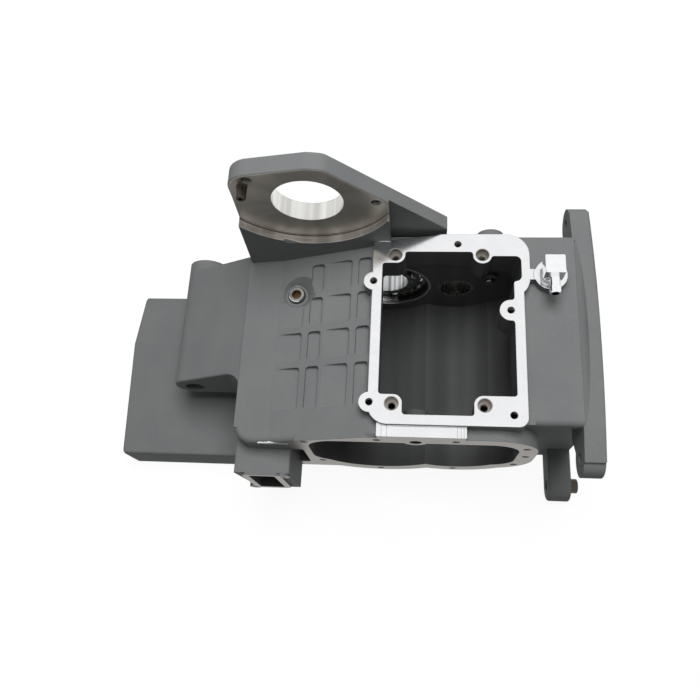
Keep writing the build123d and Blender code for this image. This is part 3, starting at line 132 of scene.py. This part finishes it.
# Tapped holes: radius, turn in degrees that points a hole drilled downwards into the part, and their mouths
DOWN = (0.0, 0.0, 0.0)
BACKWARDS = (90.0, 0.0, 0.0)
FORWARDS = (-90.0, 0.0, 0.0)
UP = (180.0, 0.0, 0.0)
TAPPED_HOLES = (
    (3.2, DOWN, ((12.1, -164.9, 67.0), (12.1, -28.3, 67.0), (88.3, -164.9, 67.0), (88.3, -28.3, 67.0),
                 (-6.5, -53.8, TOP_Z), (-6.5, -164.0, TOP_Z), (111.5, -80.5, TOP_Z), (111.5, -172.6, TOP_Z),
                 (66.9, -17.8, TOP_Z))),
    (3.2, BACKWARDS, tuple((x, SIDE_FACE_Y, z) for x, z in (
        (130.0, 6.5), (127.06, 36.83), (123.85, -29.5), (-63.85, 42.5), (69.0, -58.0), (-1.17, -66.99),
        (-56.19, -36.49), (0.0, 58.0), (66.0, 58.0)))),
    (4.2, BACKWARDS, ((-106.0, STARTER_FACE_Y, 161.5), (-3.6, STARTER_FACE_Y, 127.5))),
    (4.0, FORWARDS, tuple((x, BOSS_FACE_Y, z) for x, z in (
        (97.5, 52.0), (107.0, -52.0), (-72.0, -66.0), (-84.0, 12.0)))),
    (2.6, BACKWARDS, ((-86.0, PORT_FACE_Y, 6.0), (-124.0, PORT_FACE_Y, -57.0))),
    (2.6, UP, tuple((x, y, PAN_Z) for x in (-260.0, -165.0) for y in (-178.5, -10.5))),
    (2.6, UP, tuple((x, y, PAN_Z) for x in (-110.0, -3.0, 104.0) for y in (-171.5, -12.5))),
)

# One thread, a quarter inch by 20 turns to the inch, made for a hole of THREAD_HOLE_R and scaled to the others.
# A 60 degree ridge, sunk a little in the wall, is wound down from THREAD_START below the mouth, each turn in
# THREAD_STEPS straight steps
THREAD_HOLE_R = 3.2
THREAD_PITCH = 1.27
THREAD_RIDGE_R = 0.45
THREAD_SUNK = 0.06
THREAD_TURNS = 6.0
THREAD_START = 0.7
THREAD_STEPS = 20

# Camera of the photograph
CAMERA_PLACE = (32.3, -322.3, 645.6)
CAMERA_YAW = math.radians(-15.539)
CAMERA_DOWN = math.radians(69.672)
CAMERA_ROLL = math.radians(13.644)
SENSOR_MM = 36.0
FOCAL_PIXELS = 714.83
IMAGE_PIXELS = 700

# Floor: half its side, how much it glows, how much light it scatters
FLOOR_HALF_M = 6.0
FLOOR_GLOW = 0.94
FLOOR_SCATTER = 0.09

# Light: the surround's share that fills the shadows, and the lamp
FILL_LIGHT = 0.09
LAMP_PLACE = (80.0, 130.0, 1390.0)
LAMP_TARGET = (20.0, -90.0, 0.0)
LAMP_SIDE_M = 0.8
LAMP_WATTS = 20.0


def linear(hex_colour):
    """sRGB hex to the linear colour that a socket takes."""
    values = [int(hex_colour[i:i + 2], 16) / 255.0 for i in (1, 3, 5)]
    return [v / 12.92 if v <= 0.04045 else ((v + 0.055) / 1.055) ** 2.4 for v in values] + [1.0]


def set_input(tree, socket, value):
    """Link a socket to an input, or write a plain value in it."""
    if isinstance(value, bpy.types.NodeSocket):
        tree.links.new(value, socket)
    else:
        socket.default_value = value


def add(tree, kind, settings=None, **links):
    """Add a node; settings are its properties, links are values or sockets for its inputs by name or number."""
    node = tree.nodes.new(kind)
    for name, value in (settings or {}).items():
        setattr(node, name, value)
    for name, value in links.items():
        key = int(name[1:]) if name[0] == "_" and name[1:].isdigit() else name.replace("_", " ")
        set_input(tree, node.inputs[key], value)
    return node


def new_material(name):
    """Empty node material and its tree."""
    material = bpy.data.materials.new(name)
    material.use_nodes = True
    material.node_tree.nodes.clear()
    return material, material.node_tree


def finish_material(tree, shader):
    """Send the shader to the surface."""
    add(tree, "ShaderNodeOutputMaterial", None, Surface=shader.outputs[0])


def math_node(tree, operation, a, b=0.0, c=0.0):
    """One step of arithmetic."""
    return add(tree, "ShaderNodeMath", {"operation": operation}, _0=a, _1=b, _2=c).outputs[0]


def place(tree):
    """Object position in millimetres, as a vector and as its three parts."""
    coords = add(tree, "ShaderNodeTexCoord").outputs["Object"]
    scaled = add(tree, "ShaderNodeVectorMath", {"operation": "SCALE"}, _0=coords, Scale=1.0 / MM).outputs[0]
    parts = add(tree, "ShaderNodeSeparateXYZ", None, Vector=scaled)
    return scaled, [parts.outputs[i] for i in range(3)]


def facing(tree):
    """The surface's true direction, as its three parts."""
    geometry = add(tree, "ShaderNodeNewGeometry")
    parts = add(tree, "ShaderNodeSeparateXYZ", None, Vector=geometry.outputs["True Normal"])
    return [parts.outputs[i] for i in range(3)]


def both(tree, *masks):
    """1 where every mask is 1."""
    result = masks[0]
    for mask in masks[1:]:
        result = math_node(tree, "MULTIPLY", result, mask)
    return result


def either(tree, *masks):
    """1 where any mask is 1."""
    result = masks[0]
    for mask in masks[1:]:
        result = math_node(tree, "MAXIMUM", result, mask)
    return result


def over(tree, value, limit):
    """1 where value is above limit."""
    return math_node(tree, "GREATER_THAN", value, limit)


def under(tree, value, limit):
    """1 where value is below limit."""
    return math_node(tree, "LESS_THAN", value, limit)


def within(tree, parts, box):
    """1 inside a box given by its two corners in millimetres."""
    low, high = box
    tests = []
    for value, start, end in zip(parts, low, high):
        tests.append(over(tree, value, start))
        tests.append(under(tree, value, end))
    return both(tree, *tests)


def on_plane(tree, value, level):
    """1 where value lies on a plane."""
    return math_node(tree, "COMPARE", value, level, ON_FACE)


def distance(tree, a, b):
    """How far away a step of a one way and b square to it leads."""
    squares = math_node(tree, "ADD", math_node(tree, "MULTIPLY", a, a), math_node(tree, "MULTIPLY", b, b))
    return math_node(tree, "SQRT", squares)


def blend_colour(tree, factor, first, second):
    """Mix two colours by a factor."""
    return add(tree, "ShaderNodeMix", {"data_type": "RGBA"}, _0=factor, _6=first, _7=second).outputs[2]


def blend_value(tree, factor, first, second):
    """Mix two values by a factor."""
    return add(tree, "ShaderNodeMix", {"data_type": "FLOAT"}, _0=factor, _2=first, _3=second).outputs[0]


def noise(tree, vector, size, detail, roughness):
    """Noise whose grain is size millimetres across."""
    node = add(tree, "ShaderNodeTexNoise", {"noise_dimensions": "3D"}, Vector=vector, Scale=1.0 / size,
               Detail=detail, Roughness=roughness)
    return node.outputs["Fac"]


def ramp(tree, value, low, high, to_low=0.0, to_high=1.0):
    """Map value from one range to another, held at the ends."""
    node = add(tree, "ShaderNodeMapRange", {"clamp": True}, Value=value, From_Min=low, From_Max=high,
               To_Min=to_low, To_Max=to_high)
    return node.outputs[0]


def stretched(tree, vector, scale):
    """The position divided by a scale for each axis, which draws a pattern out along it."""
    return add(tree, "ShaderNodeMapping", {"vector_type": "TEXTURE"}, Vector=vector, Scale=scale).outputs[0]


def round_axis(tree, parts, axis):
    """Distance from an axis that runs front to back, and the direction around it."""
    dx = math_node(tree, "SUBTRACT", parts[0], axis[0])
    dz = math_node(tree, "SUBTRACT", parts[2], axis[1])
    away = distance(tree, dx, dz)
    around = add(tree, "ShaderNodeCombineXYZ", None, X=math_node(tree, "DIVIDE", dx, away),
                 Z=math_node(tree, "DIVIDE", dz, away)).outputs[0]
    return away, around


def sand_cast_paint(tree, position):
    """Colour and height of textured grey paint on the sand casting: even from afar, finely pitted close by."""
    # Sand grain is about 0.4 mm; the coarser grain is drawn at 0.9 mm, so that it shows
    grain = noise(tree, position, 0.9, 4.0, 0.62)
    patches = noise(tree, position, 38.0, 3.0, 0.5)
    specks = noise(tree, position, 0.45, 1.0, 0.4)
    colour = blend_colour(tree, ramp(tree, patches, 0.3, 0.7), linear("#717374"), linear("#797b7b"))
    colour = blend_colour(tree, ramp(tree, grain, 0.35, 0.75, 0.0, 0.35), colour, linear("#8b8d8d"))
    colour = blend_colour(tree, ramp(tree, specks, 0.58, 0.75, 0.0, 0.5), colour, linear("#545656"))
    return colour, math_node(tree, "MULTIPLY", grain, PAINT_HEIGHT)


def raw_casting_in_shade(tree, position):
    """Colour and height of the unpainted cast wall inside: dark as painted shade of the hollows, with broad soft bands
    along the draw.
    """
    grain = noise(tree, position, 1.4, 4.0, 0.6)
    bands = noise(tree, stretched(tree, position, (1.0, 40.0, 40.0)), 24.0, 1.0, 0.4)
    # Painted shade: the dark tone of the inner walls stands for the shade inside the hollows
    colour = blend_colour(tree, ramp(tree, bands, 0.38, 0.62), linear("#3f4040"), linear("#4d4e4e"))
    colour = blend_colour(tree, ramp(tree, grain, 0.4, 0.8, 0.0, 0.35), colour, linear("#5b5b5a"))
    return colour, math_node(tree, "MULTIPLY", grain, RAW_HEIGHT)


def inside_mask(tree, parts):
    """1 on the cast walls inside: the gear chamber under the deck, the frame's well and the filler port."""
    x, _, z = parts
    run = math_node(tree, "MULTIPLY", math_node(tree, "SUBTRACT", x, DECK_CREST_X), math.tan(DECK_SLOPE))
    below_deck = under(tree, z, math_node(tree, "ADD", run, DECK_CREST_Z - DECK_THICK))
    chamber = both(tree, within(tree, parts, CHAMBER), below_deck)
    return either(tree, chamber, within(tree, parts, FRAME_WELL), within(tree, parts, PORT_WELL))


def cover_bores(tree, parts):
    """1 on the walls and floors of the four counterbores in the top frame."""
    x, y, z = parts
    steps = []
    for value, (low, high) in ((x, COVER_X), (y, COVER_Y)):
        from_middle = math_node(tree, "ABSOLUTE", math_node(tree, "SUBTRACT", value, (low + high) / 2))
        steps.append(math_node(tree, "SUBTRACT", from_middle, (high - low) / 2))
    return both(tree, under(tree, distance(tree, *steps), COVER_BORE_R), over(tree, z, COVER_BORE_LOW_Z))


def milled_faces(tree, parts, normal):
    """1 on the bright milled faces: the top frame, the vent's seat and the pad in front of the frame."""
    x, y, z = parts
    _, ny, nz = normal
    up = over(tree, nz, FACES)
    front = under(tree, ny, -FACES)
    frame_face = both(tree, up, either(tree, on_plane(tree, z, TOP_Z), on_plane(tree, z, VENT_SEAT_Z)))
    pad_top = both(tree, up, on_plane(tree, z, PAD_Z))
    pad_front = both(tree, front, on_plane(tree, y, SIDE_FACE_Y))
    pad = both(tree, under(tree, y, PAD_BACK_Y), over(tree, x, PAD_X[0]), under(tree, x, PAD_X[1]),
               over(tree, z, PAD_FRONT_LOW_Z), either(tree, pad_top, pad_front))
    return either(tree, frame_face, pad)


def pad_steps(tree, parts):
    """1 on the thin lines where the cutter's passes meet on the pad in front of the frame."""
    x, y, z = parts
    lines = either(tree, *[on_plane(tree, x, at) for at in PAD_LINES])
    return both(tree, lines, under(tree, y, PAD_BACK_Y), under(tree, z, PAD_Z + STEP_MARGIN))


def dull_faces(tree, parts, normal):
    """1 on the dull milled faces: side cover, filler port, engine, primary case, starter back and pan."""
    x, y, z = parts
    nx, ny, nz = normal
    front = under(tree, ny, -FACES)
    back = over(tree, ny, FACES)
    side_face = both(tree, front, on_plane(tree, y, SIDE_FACE_Y), over(tree, x, PORT_RIGHT_X))
    port_face = both(tree, front, under(tree, y, PORT_FACE_Y + ON_FACE))
    engine_face = both(tree, over(tree, nx, FACES), over(tree, x, ENGINE_FACE_X - ON_FACE))
    boss_face = both(tree, back, on_plane(tree, y, BOSS_FACE_Y))
    starter_back = both(tree, back, over(tree, y, STARTER_BACK_Y - ON_FACE), over(tree, z, STARTER_LOW_Z))
    pan_face = both(tree, under(tree, nz, -FACES), under(tree, z, PAN_Z + ON_FACE))
    return either(tree, side_face, port_face, engine_face, boss_face, starter_back, pan_face)


def starter_masks(tree, parts, normal, away):
    """Masks of the turned faces of the starter flange: bore, ledge and front."""
    x, y, z = parts
    _, ny, nz = normal
    round_wall = under(tree, math_node(tree, "ABSOLUTE", ny), RUNS_ALONG)
    bore = both(tree, under(tree, away, STARTER_BORE_R + BORE_MARGIN), round_wall,
                over(tree, y, STARTER_FACE_Y - MARGIN))
    ledge = both(tree, over(tree, y, STARTER_FOOT_Y + LEDGE_MARGIN), under(tree, y, STARTER_FACE_Y - LEDGE_MARGIN),
                 over(tree, z, LEDGE_LOW_Z), round_wall, over(tree, nz, LEDGE_RISE),
                 under(tree, x, STARTER_SPOT_RIGHT_X - MARGIN))
    face = both(tree, under(tree, ny, -FACES), on_plane(tree, y, STARTER_FACE_Y), over(tree, z, STARTER_LOW_Z),
                under(tree, x, STARTER_SPOT_RIGHT_X))
    return bore, ledge, face


def bearing_seat(tree, parts):
    """1 on the bored seat of the main bearing."""
    away, _ = round_axis(tree, parts, MAIN_AXIS)
    return both(tree, under(tree, away, SEAT_R), over(tree, parts[1], SEAT_Y[0]), under(tree, parts[1], SEAT_Y[1]))


def bright_front_strip(tree, position, parts, normal):
    """1 on a bright bare strip along the front wall: pointed, with ragged edges."""
    x, _, z = parts
    start, end = STRIP_X
    middle = ramp(tree, x, start, end, *STRIP_Z)
    off = math_node(tree, "ABSOLUTE", math_node(tree, "SUBTRACT", z, middle))
    ragged = ramp(tree, noise(tree, position, 5.0, 2.0, 0.6), 0.3, 0.7, 0.6, 1.0)
    half = ramp(tree, x, start, start + STRIP_POINT, STRIP_TIP * STRIP_HALF, STRIP_HALF)
    return both(tree, under(tree, normal[1], -WALL_FACES), over(tree, x, start), under(tree, x, end),
                under(tree, off, math_node(tree, "MULTIPLY", ragged, half)))


def milled_marks(tree, position):
    """Fine arcs that a milling cutter leaves, struck from a far centre."""
    turned = add(tree, "ShaderNodeMapping", {"vector_type": "POINT"}, Vector=position,
                 Rotation=(0.0, 0.0, MARK_TURN), Location=(MARK_CENTRE, 0.0, 0.0)).outputs[0]
    rings = add(tree, "ShaderNodeTexWave", {"wave_type": "RINGS", "rings_direction": "SPHERICAL"}, Vector=turned,
                Scale=WAVE_PERIOD / MARK_SPACING, Distortion=0.6, Detail=2.0, Detail_Scale=0.4)
    return rings.outputs["Fac"]


def bright_milling(tree, position, parts, cloud):
    """Colour of freshly milled aluminium: near white, clouded, with grey scratches and the pad's pass lines."""
    # Real scratches are under 0.1 mm wide; 0.35 mm is the least that shows
    scratches = noise(tree, stretched(tree, position, (14.0, 1.0, 1.0)), 0.35, 2.0, 0.6)
    colour = blend_colour(tree, cloud, linear("#e8e9eb"), linear("#f5f5f6"))
    colour = blend_colour(tree, ramp(tree, scratches, 0.58, 0.78, 0.0, 0.45), colour, linear("#c9ccd2"))
    return blend_colour(tree, pad_steps(tree, parts), colour, linear("#9c9da0"))


def starter_turning(tree, position, y, around):
    """Colours of the starter flange's turned bore, ledge and front: painted light that fans out round the axis, and a
    painted shade line on the ledge where it meets the front.
    """
    # The fan's size is in radii of the turned circle
    fan = ramp(tree, noise(tree, around, 0.34, 2.0, 0.5), 0.42, 0.68)
    # Tool marks, 0.7 mm apart where the real feed is near 0.2 mm, so that they show
    feed = noise(tree, stretched(tree, position, (40.0, 1.0, 40.0)), 0.7, 2.0, 0.5)
    bore = blend_colour(tree, fan, linear("#cccbc7"), linear("#f6f6f3"))
    ledge = blend_colour(tree, fan, linear("#a5a29f"), linear("#dedbd7"))
    ledge = blend_colour(tree, ramp(tree, feed, 0.45, 0.7, 0.0, 0.6), ledge, linear("#e0dedb"))
    # Painted shade: a dark line on the ledge beside the front face, in the shade of the inner corner
    ledge = blend_colour(tree, over(tree, y, STARTER_FACE_Y - LEDGE_SHADE_WIDTH), ledge, linear("#45423f"))
    face = blend_colour(tree, fan, linear("#979289"), linear("#a8a29b"))
    return bore, ledge, face


def layered(tree, base, layers):
    """Base values covered in turn by each layer's values where its mask is 1."""
    colour, roughness = base
    for mask, layer_colour, layer_roughness in layers:
        colour = blend_colour(tree, mask, colour, layer_colour)
        roughness = blend_value(tree, mask, roughness, layer_roughness)
    return colour, roughness


def cast_and_milled(name):
    """Aluminium sand casting: matt grey textured paint outside, unpainted walls inside made dark as painted shade,
    milled and turned faces bare, so that the bright frame and rings stand out from an even grey body."""
    material, tree = new_material(name)
    position, parts = place(tree)
    normal = facing(tree)
    paint, paint_height = sand_cast_paint(tree, position)
    raw, raw_height = raw_casting_in_shade(tree, position)
    inside = inside_mask(tree, parts)
    away, around = round_axis(tree, parts, STARTER_AXIS)
    bore, ledge, face = starter_masks(tree, parts, normal, away)
    bore_colour, ledge_colour, face_colour = starter_turning(tree, position, parts[1], around)
    marks = milled_marks(tree, position)
    cloud = noise(tree, position, 16.0, 2.0, 0.5)
    bright = bright_milling(tree, position, parts, cloud)
    dull_metal = blend_colour(tree, cloud, linear("#78746f"), linear("#8a8681"))
    cast = (blend_colour(tree, inside, paint, raw), ramp(tree, inside, 0.0, 1.0, 0.70, 0.60))
    layers = [
        (milled_faces(tree, parts, normal), bright, ramp(tree, marks, 0.0, 1.0, 0.13, 0.21)),
        (bearing_seat(tree, parts), bright, 0.24),
        (cover_bores(tree, parts), linear("#b3aea8"), 0.36),
        (bright_front_strip(tree, position, parts, normal), linear("#f6f6f4"), 0.30),
        (bore, bore_colour, 0.22),
        (ledge, ledge_colour, 0.30),
        (face, face_colour, 0.36),
        (dull_faces(tree, parts, normal), dull_metal, 0.38),
    ]
    colour, roughness = layered(tree, cast, layers)
    bare = either(tree, *[mask for mask, _, _ in layers])
    covered = math_node(tree, "SUBTRACT", 1.0, bare)
    cast_height = both(tree, blend_value(tree, inside, paint_height, raw_height), covered)
    height = math_node(tree, "ADD", cast_height, both(tree, marks, bare, MARK_HEIGHT))
    soft = add(tree, "ShaderNodeBevel", {"samples": 4}, Radius=EDGE_ROUND * MM).outputs[0]
    bump = add(tree, "ShaderNodeBump", None, Strength=0.7, Distance=MM, Height=height, Normal=soft).outputs[0]
    shader = add(tree, "ShaderNodeBsdfPrincipled", None, Base_Color=colour, Metallic=bare, Roughness=roughness,
                 Normal=bump)
    shader.inputs["Specular IOR Level"].default_value = 0.3
    finish_material(tree, shader)
    return material


def fine_grained(name, light, dark, roughness, grain_mm, metallic=1.0, turned_about=None):
    """Smooth material with fine grain, a metal unless metallic is 0; a turned piece also has soft bands of light
    around its axis."""
    material, tree = new_material(name)
    position, parts = place(tree)
    grain = noise(tree, position, grain_mm, 3.0, 0.6)
    colour = blend_colour(tree, ramp(tree, grain, 0.3, 0.7), linear(light), linear(dark))
    if turned_about:
        _, around = round_axis(tree, parts, turned_about)
        bands = ramp(tree, noise(tree, around, 0.22, 2.0, 0.5), 0.46, 0.6, 0.0, 0.75)
        colour = blend_colour(tree, bands, colour, linear("#5f5f5e"))
    rough = ramp(tree, grain, 0.2, 0.8, roughness - 0.05, roughness + 0.06)
    height = math_node(tree, "MULTIPLY", grain, METAL_HEIGHT)
    bump = add(tree, "ShaderNodeBump", None, Strength=0.5, Distance=MM, Height=height).outputs[0]
    shader = add(tree, "ShaderNodeBsdfPrincipled", None, Base_Color=colour, Roughness=rough, Normal=bump)
    shader.inputs["Metallic"].default_value = metallic
    finish_material(tree, shader)
    return material


def plug_steel(name):
    """Plated screw plug: bright round its rim, mottled brown and darker within its socket's radius."""
    material, tree = new_material(name)
    position, parts = place(tree)
    away = distance(tree, math_node(tree, "SUBTRACT", parts[0], PLUG_X), math_node(tree, "SUBTRACT", parts[1], PLUG_Y))
    socket = under(tree, away, PLUG_SOCKET_R)
    socket_mottle = noise(tree, position, 1.6, 2.0, 0.5)
    brown = blend_colour(tree, socket_mottle, linear("#5d4a38"), linear("#8f7a62"))
    colour = blend_colour(tree, socket, linear("#d9dbdd"), brown)
    roughness = blend_value(tree, socket, 0.16, 0.42)
    shader = add(tree, "ShaderNodeBsdfPrincipled", None, Base_Color=colour, Roughness=roughness)
    shader.inputs["Metallic"].default_value = 1.0
    finish_material(tree, shader)
    return material


def thread_tree():
    """Node tree that winds a screw thread down each tapped hole from its mouth."""
    tree = bpy.data.node_groups.new("tapped threads", "GeometryNodeTree")
    tree.interface.new_socket("Mouths", in_out="INPUT", socket_type="NodeSocketGeometry")
    for name in ("Path Radius", "Ridge Radius", "Pitch", "Turns", "Start"):
        tree.interface.new_socket(name, in_out="INPUT", socket_type="NodeSocketFloat")
    tree.interface.new_socket("Material", in_out="INPUT", socket_type="NodeSocketMaterial")
    tree.interface.new_socket("Threads", in_out="OUTPUT", socket_type="NodeSocketGeometry")
    sizes = add(tree, "NodeGroupInput").outputs
    radius = sizes["Path Radius"]
    height = math_node(tree, "MULTIPLY", sizes["Pitch"], sizes["Turns"])
    helix = add(tree, "GeometryNodeCurveSpiral", None, Resolution=THREAD_STEPS, Rotations=sizes["Turns"],
                Start_Radius=radius, End_Radius=radius, Height=height, Reverse=True)
    level = add(tree, "GeometryNodeSetCurveNormal", {"mode": "Z_UP"}, Curve=helix.outputs["Curve"])
    ridge = add(tree, "GeometryNodeCurvePrimitiveCircle", {"mode": "RADIUS"}, Resolution=3,
                Radius=sizes["Ridge Radius"])
    inward = add(tree, "GeometryNodeTransform", None, Geometry=ridge.outputs["Curve"], Rotation=(0.0, 0.0, math.pi))
    wound = add(tree, "GeometryNodeCurveToMesh", None, Curve=level.outputs["Curve"],
                Profile_Curve=inward.outputs["Geometry"], Fill_Caps=True)
    down = math_node(tree, "MULTIPLY", math_node(tree, "ADD", height, sizes["Start"]), -1.0)
    drop = add(tree, "ShaderNodeCombineXYZ", None, Z=down)
    thread = add(tree, "GeometryNodeTransform", None, Geometry=wound.outputs["Mesh"], Translation=drop.outputs[0])
    turn = add(tree, "GeometryNodeInputNamedAttribute", {"data_type": "FLOAT_VECTOR"}, Name="turn")
    size = add(tree, "GeometryNodeInputNamedAttribute", {"data_type": "FLOAT"}, Name="size")
    rotation = add(tree, "FunctionNodeEulerToRotation", None, Euler=turn.outputs["Attribute"])
    placed = add(tree, "GeometryNodeInstanceOnPoints", None, Points=sizes["Mouths"],
                 Instance=thread.outputs["Geometry"], Rotation=rotation.outputs[0], Scale=size.outputs["Attribute"])
    real = add(tree, "GeometryNodeRealizeInstances", None, Geometry=placed.outputs["Instances"])
    finished = add(tree, "GeometryNodeSetMaterial", None, Geometry=real.outputs["Geometry"],
                   Material=sizes["Material"])
    add(tree, "NodeGroupOutput", None, Threads=finished.outputs["Geometry"])
    return tree


def hole_mouths():
    """Mesh of one point at each tapped hole's mouth, with the thread's turn and size there."""
    rows = [(radius, turn, mouth) for radius, turn, mouths in TAPPED_HOLES for mouth in mouths]
    mesh = bpy.data.meshes.new("tapped hole mouths")
    mesh.from_pydata([tuple(v * MM for v in mouth) for _, _, mouth in rows], [], [])
    # Both are made before either is fetched, because a new attribute moves the data of the others
    mesh.attributes.new("turn", "FLOAT_VECTOR", "POINT")
    mesh.attributes.new("size", "FLOAT", "POINT")
    for index, (radius, turn, _) in enumerate(rows):
        mesh.attributes["turn"].data[index].vector = [math.radians(v) for v in turn]
        mesh.attributes["size"].data[index].value = radius / THREAD_HOLE_R
    return mesh


def make_threads():
    """Screw threads in the casting's tapped holes, which the CAD model leaves plain."""
    threads = bpy.data.objects.new("tapped_threads", hole_mouths())
    bpy.context.scene.collection.objects.link(threads)
    values = {
        "Path Radius": (THREAD_HOLE_R + THREAD_SUNK - THREAD_RIDGE_R / 2) * MM,
        "Ridge Radius": THREAD_RIDGE_R * MM,
        "Pitch": THREAD_PITCH * MM,
        "Turns": THREAD_TURNS,
        "Start": THREAD_START * MM,
        # Cut metal that sits in shade, so a soft grey glint on each turn
        "Material": fine_grained("cut aluminium thread", "#a5a29c", "#8a8782", 0.34, 0.8),
    }
    modifier = threads.modifiers.new("threads", "NODES")
    modifier.node_group = thread_tree()
    for item in modifier.node_group.interface.items_tree:
        if item.in_out == "INPUT" and item.name in values:
            modifier[item.identifier] = values[item.name]
    evaluated = threads.evaluated_get(bpy.context.evaluated_depsgraph_get())
    plain = bpy.data.meshes.new_from_object(evaluated)
    threads.modifiers.clear()
    threads.data = plain
    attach(threads, "case")


def dress_nodes():
    """Give each CAD node the material of the real piece."""
    # Ground rings and a drawn cup: bright bands of light run round their axes
    ground = fine_grained("ground bearing steel", "#d3d4d5", "#c2c4c5", 0.20, 0.8, turned_about=MAIN_AXIS)
    drawn = fine_grained("drawn bearing steel", "#b4b5b5", "#9c9d9d", 0.26, 0.8, turned_about=COUNTER_AXIS)
    # Lapped to a mirror: small sharp highlights
    polished = fine_grained("polished ball steel", "#dcdddd", "#cfd0d1", 0.08, 2.0)
    # Stamped sheet, warmer and duller than the balls it holds
    pressed = fine_grained("pressed steel cage", "#8f8d86", "#77756f", 0.34, 1.2)
    # Black-brown with preserving oil: a dark soft sheen
    oiled = fine_grained("oiled dark steel", "#57504a", "#3a3430", 0.36, 1.0)
    # Ground but aged: mid grey, half bright
    pin = fine_grained("ground pin steel", "#8b8a88", "#6f6e6c", 0.28, 0.8)
    # Bright dipped plate: almost white, with hard reflections
    zinc = fine_grained("bright zinc plate", "#fafbfc", "#f1f3f5", 0.08, 3.0)
    # Soft metal washer: pale and even
    washer = fine_grained("soft sealing washer", "#b9b9b7", "#9f9f9c", 0.38, 1.0)
    plug = plug_steel("plated plug steel")
    # Bonded sealing ring, not a metal: near black and matt, which also paints the shade in the gap round the plug
    seal = fine_grained("dark seal with painted shade", "#34322f", "#1f1e1c", 0.55, 0.8, metallic=0.0)
    finishes = {
        "housing": cast_and_milled("painted and milled aluminium casting"),
        "main_bearing_outer_ring": ground,
        "main_bearing_inner_ring": ground,
        "main_bearing_balls": polished,
        "main_bearing_cage": pressed,
        "main_bearing_retaining_ring": oiled,
        "countershaft_cup": drawn,
        "countershaft_cage": pressed,
        "countershaft_needles": polished,
        "shift_pin": pin,
        "vent_washer": washer,
        "vent_elbow": zinc,
        "vent_barb": zinc,
        "deck_plug": plug,
        "deck_plug_ring": seal,
        "starter_dowel": oiled,
        "engine_sleeve_front": oiled,
        "engine_sleeve_back": oiled,
    }
    for name, material in finishes.items():
        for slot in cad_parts[name].material_slots:
            slot.material = material


def make_camera():
    """Camera at the photograph's place and angle."""
    forward = Vector((math.sin(CAMERA_YAW) * math.cos(CAMERA_DOWN), math.cos(CAMERA_YAW) * math.cos(CAMERA_DOWN),
                      -math.sin(CAMERA_DOWN)))
    level = Vector((math.cos(CAMERA_YAW), -math.sin(CAMERA_YAW), 0.0))
    down = forward.cross(level)
    c, s = math.cos(CAMERA_ROLL), math.sin(CAMERA_ROLL)
    right = c * level + s * down
    bottom = -s * level + c * down
    data = bpy.data.cameras.new("camera")
    data.sensor_width = SENSOR_MM
    data.lens = FOCAL_PIXELS / IMAGE_PIXELS * SENSOR_MM
    camera = bpy.data.objects.new("camera", data)
    axes = Matrix((right, -bottom, -forward)).transposed()
    camera.matrix_world = Matrix.Translation(Vector(CAMERA_PLACE) * MM) @ axes.to_4x4()
    bpy.context.scene.collection.objects.link(camera)
    bpy.context.scene.camera = camera


def seen_white(tree):
    """1 for the rays that see the background: camera, mirror and glass rays."""
    path = add(tree, "ShaderNodeLightPath")
    return either(tree, path.outputs["Is Camera Ray"], path.outputs["Is Glossy Ray"],
                  path.outputs["Is Transmission Ray"])


def make_floor():
    """Plain pale floor that keeps a faint shadow; it doesn't glow inside the open pan that stands on it, a painted
    shadow there.
    """
    mesh = bpy.data.meshes.new("floor")
    corners = [(x * FLOOR_HALF_M, y * FLOOR_HALF_M, PAN_Z * MM) for x, y in ((-1, -1), (1, -1), (1, 1), (-1, 1))]
    mesh.from_pydata(corners, [], [(0, 1, 2, 3)])
    floor = bpy.data.objects.new("floor", mesh)
    bpy.context.scene.collection.objects.link(floor)
    material, tree = new_material("plain pale floor")
    _, parts = place(tree)
    # Painted shadow: the floor's glow is left out under the pan's hollow
    outside_painted_shadow = math_node(tree, "SUBTRACT", 1.0, within(tree, parts, PAN_HOLLOW))
    diffuse = add(tree, "ShaderNodeBsdfDiffuse", None, Color=(FLOOR_SCATTER,) * 3 + (1.0,))
    glow = add(tree, "ShaderNodeEmission", None, Color=(1.0, 1.0, 1.0, 1.0),
               Strength=both(tree, seen_white(tree), outside_painted_shadow, FLOOR_GLOW))
    finish_material(tree, add(tree, "ShaderNodeAddShader", None, _0=diffuse.outputs[0], _1=glow.outputs[0]))
    mesh.materials.append(material)


def make_world():
    """White surround for the camera and for reflections, dim for the soft light that fills the shadows."""
    world = bpy.data.worlds.new("studio")
    bpy.context.scene.world = world
    world.use_nodes = True
    tree = world.node_tree
    tree.nodes.clear()
    strength = ramp(tree, seen_white(tree), 0.0, 1.0, FILL_LIGHT, 1.0)
    background = add(tree, "ShaderNodeBackground", None, Color=(1.0, 1.0, 1.0, 1.0), Strength=strength)
    add(tree, "ShaderNodeOutputWorld", None, Surface=background.outputs[0])


def make_lamp():
    """Overhead square softbox, hidden from the camera and from reflections."""
    data = bpy.data.lights.new("overhead softbox", "AREA")
    data.shape = "SQUARE"
    data.size = LAMP_SIDE_M
    data.energy = LAMP_WATTS
    lamp = bpy.data.objects.new("overhead softbox", data)
    start = Vector(LAMP_PLACE) * MM
    aim = (Vector(LAMP_TARGET) * MM - start).to_track_quat("-Z", "Y")
    lamp.matrix_world = Matrix.Translation(start) @ aim.to_matrix().to_4x4()
    lamp.visible_camera = False
    lamp.visible_glossy = False
    bpy.context.scene.collection.objects.link(lamp)


bpy.context.scene.view_settings.view_transform = "Standard"
dress_nodes()
make_threads()
make_camera()
make_floor()
make_world()
make_lamp()
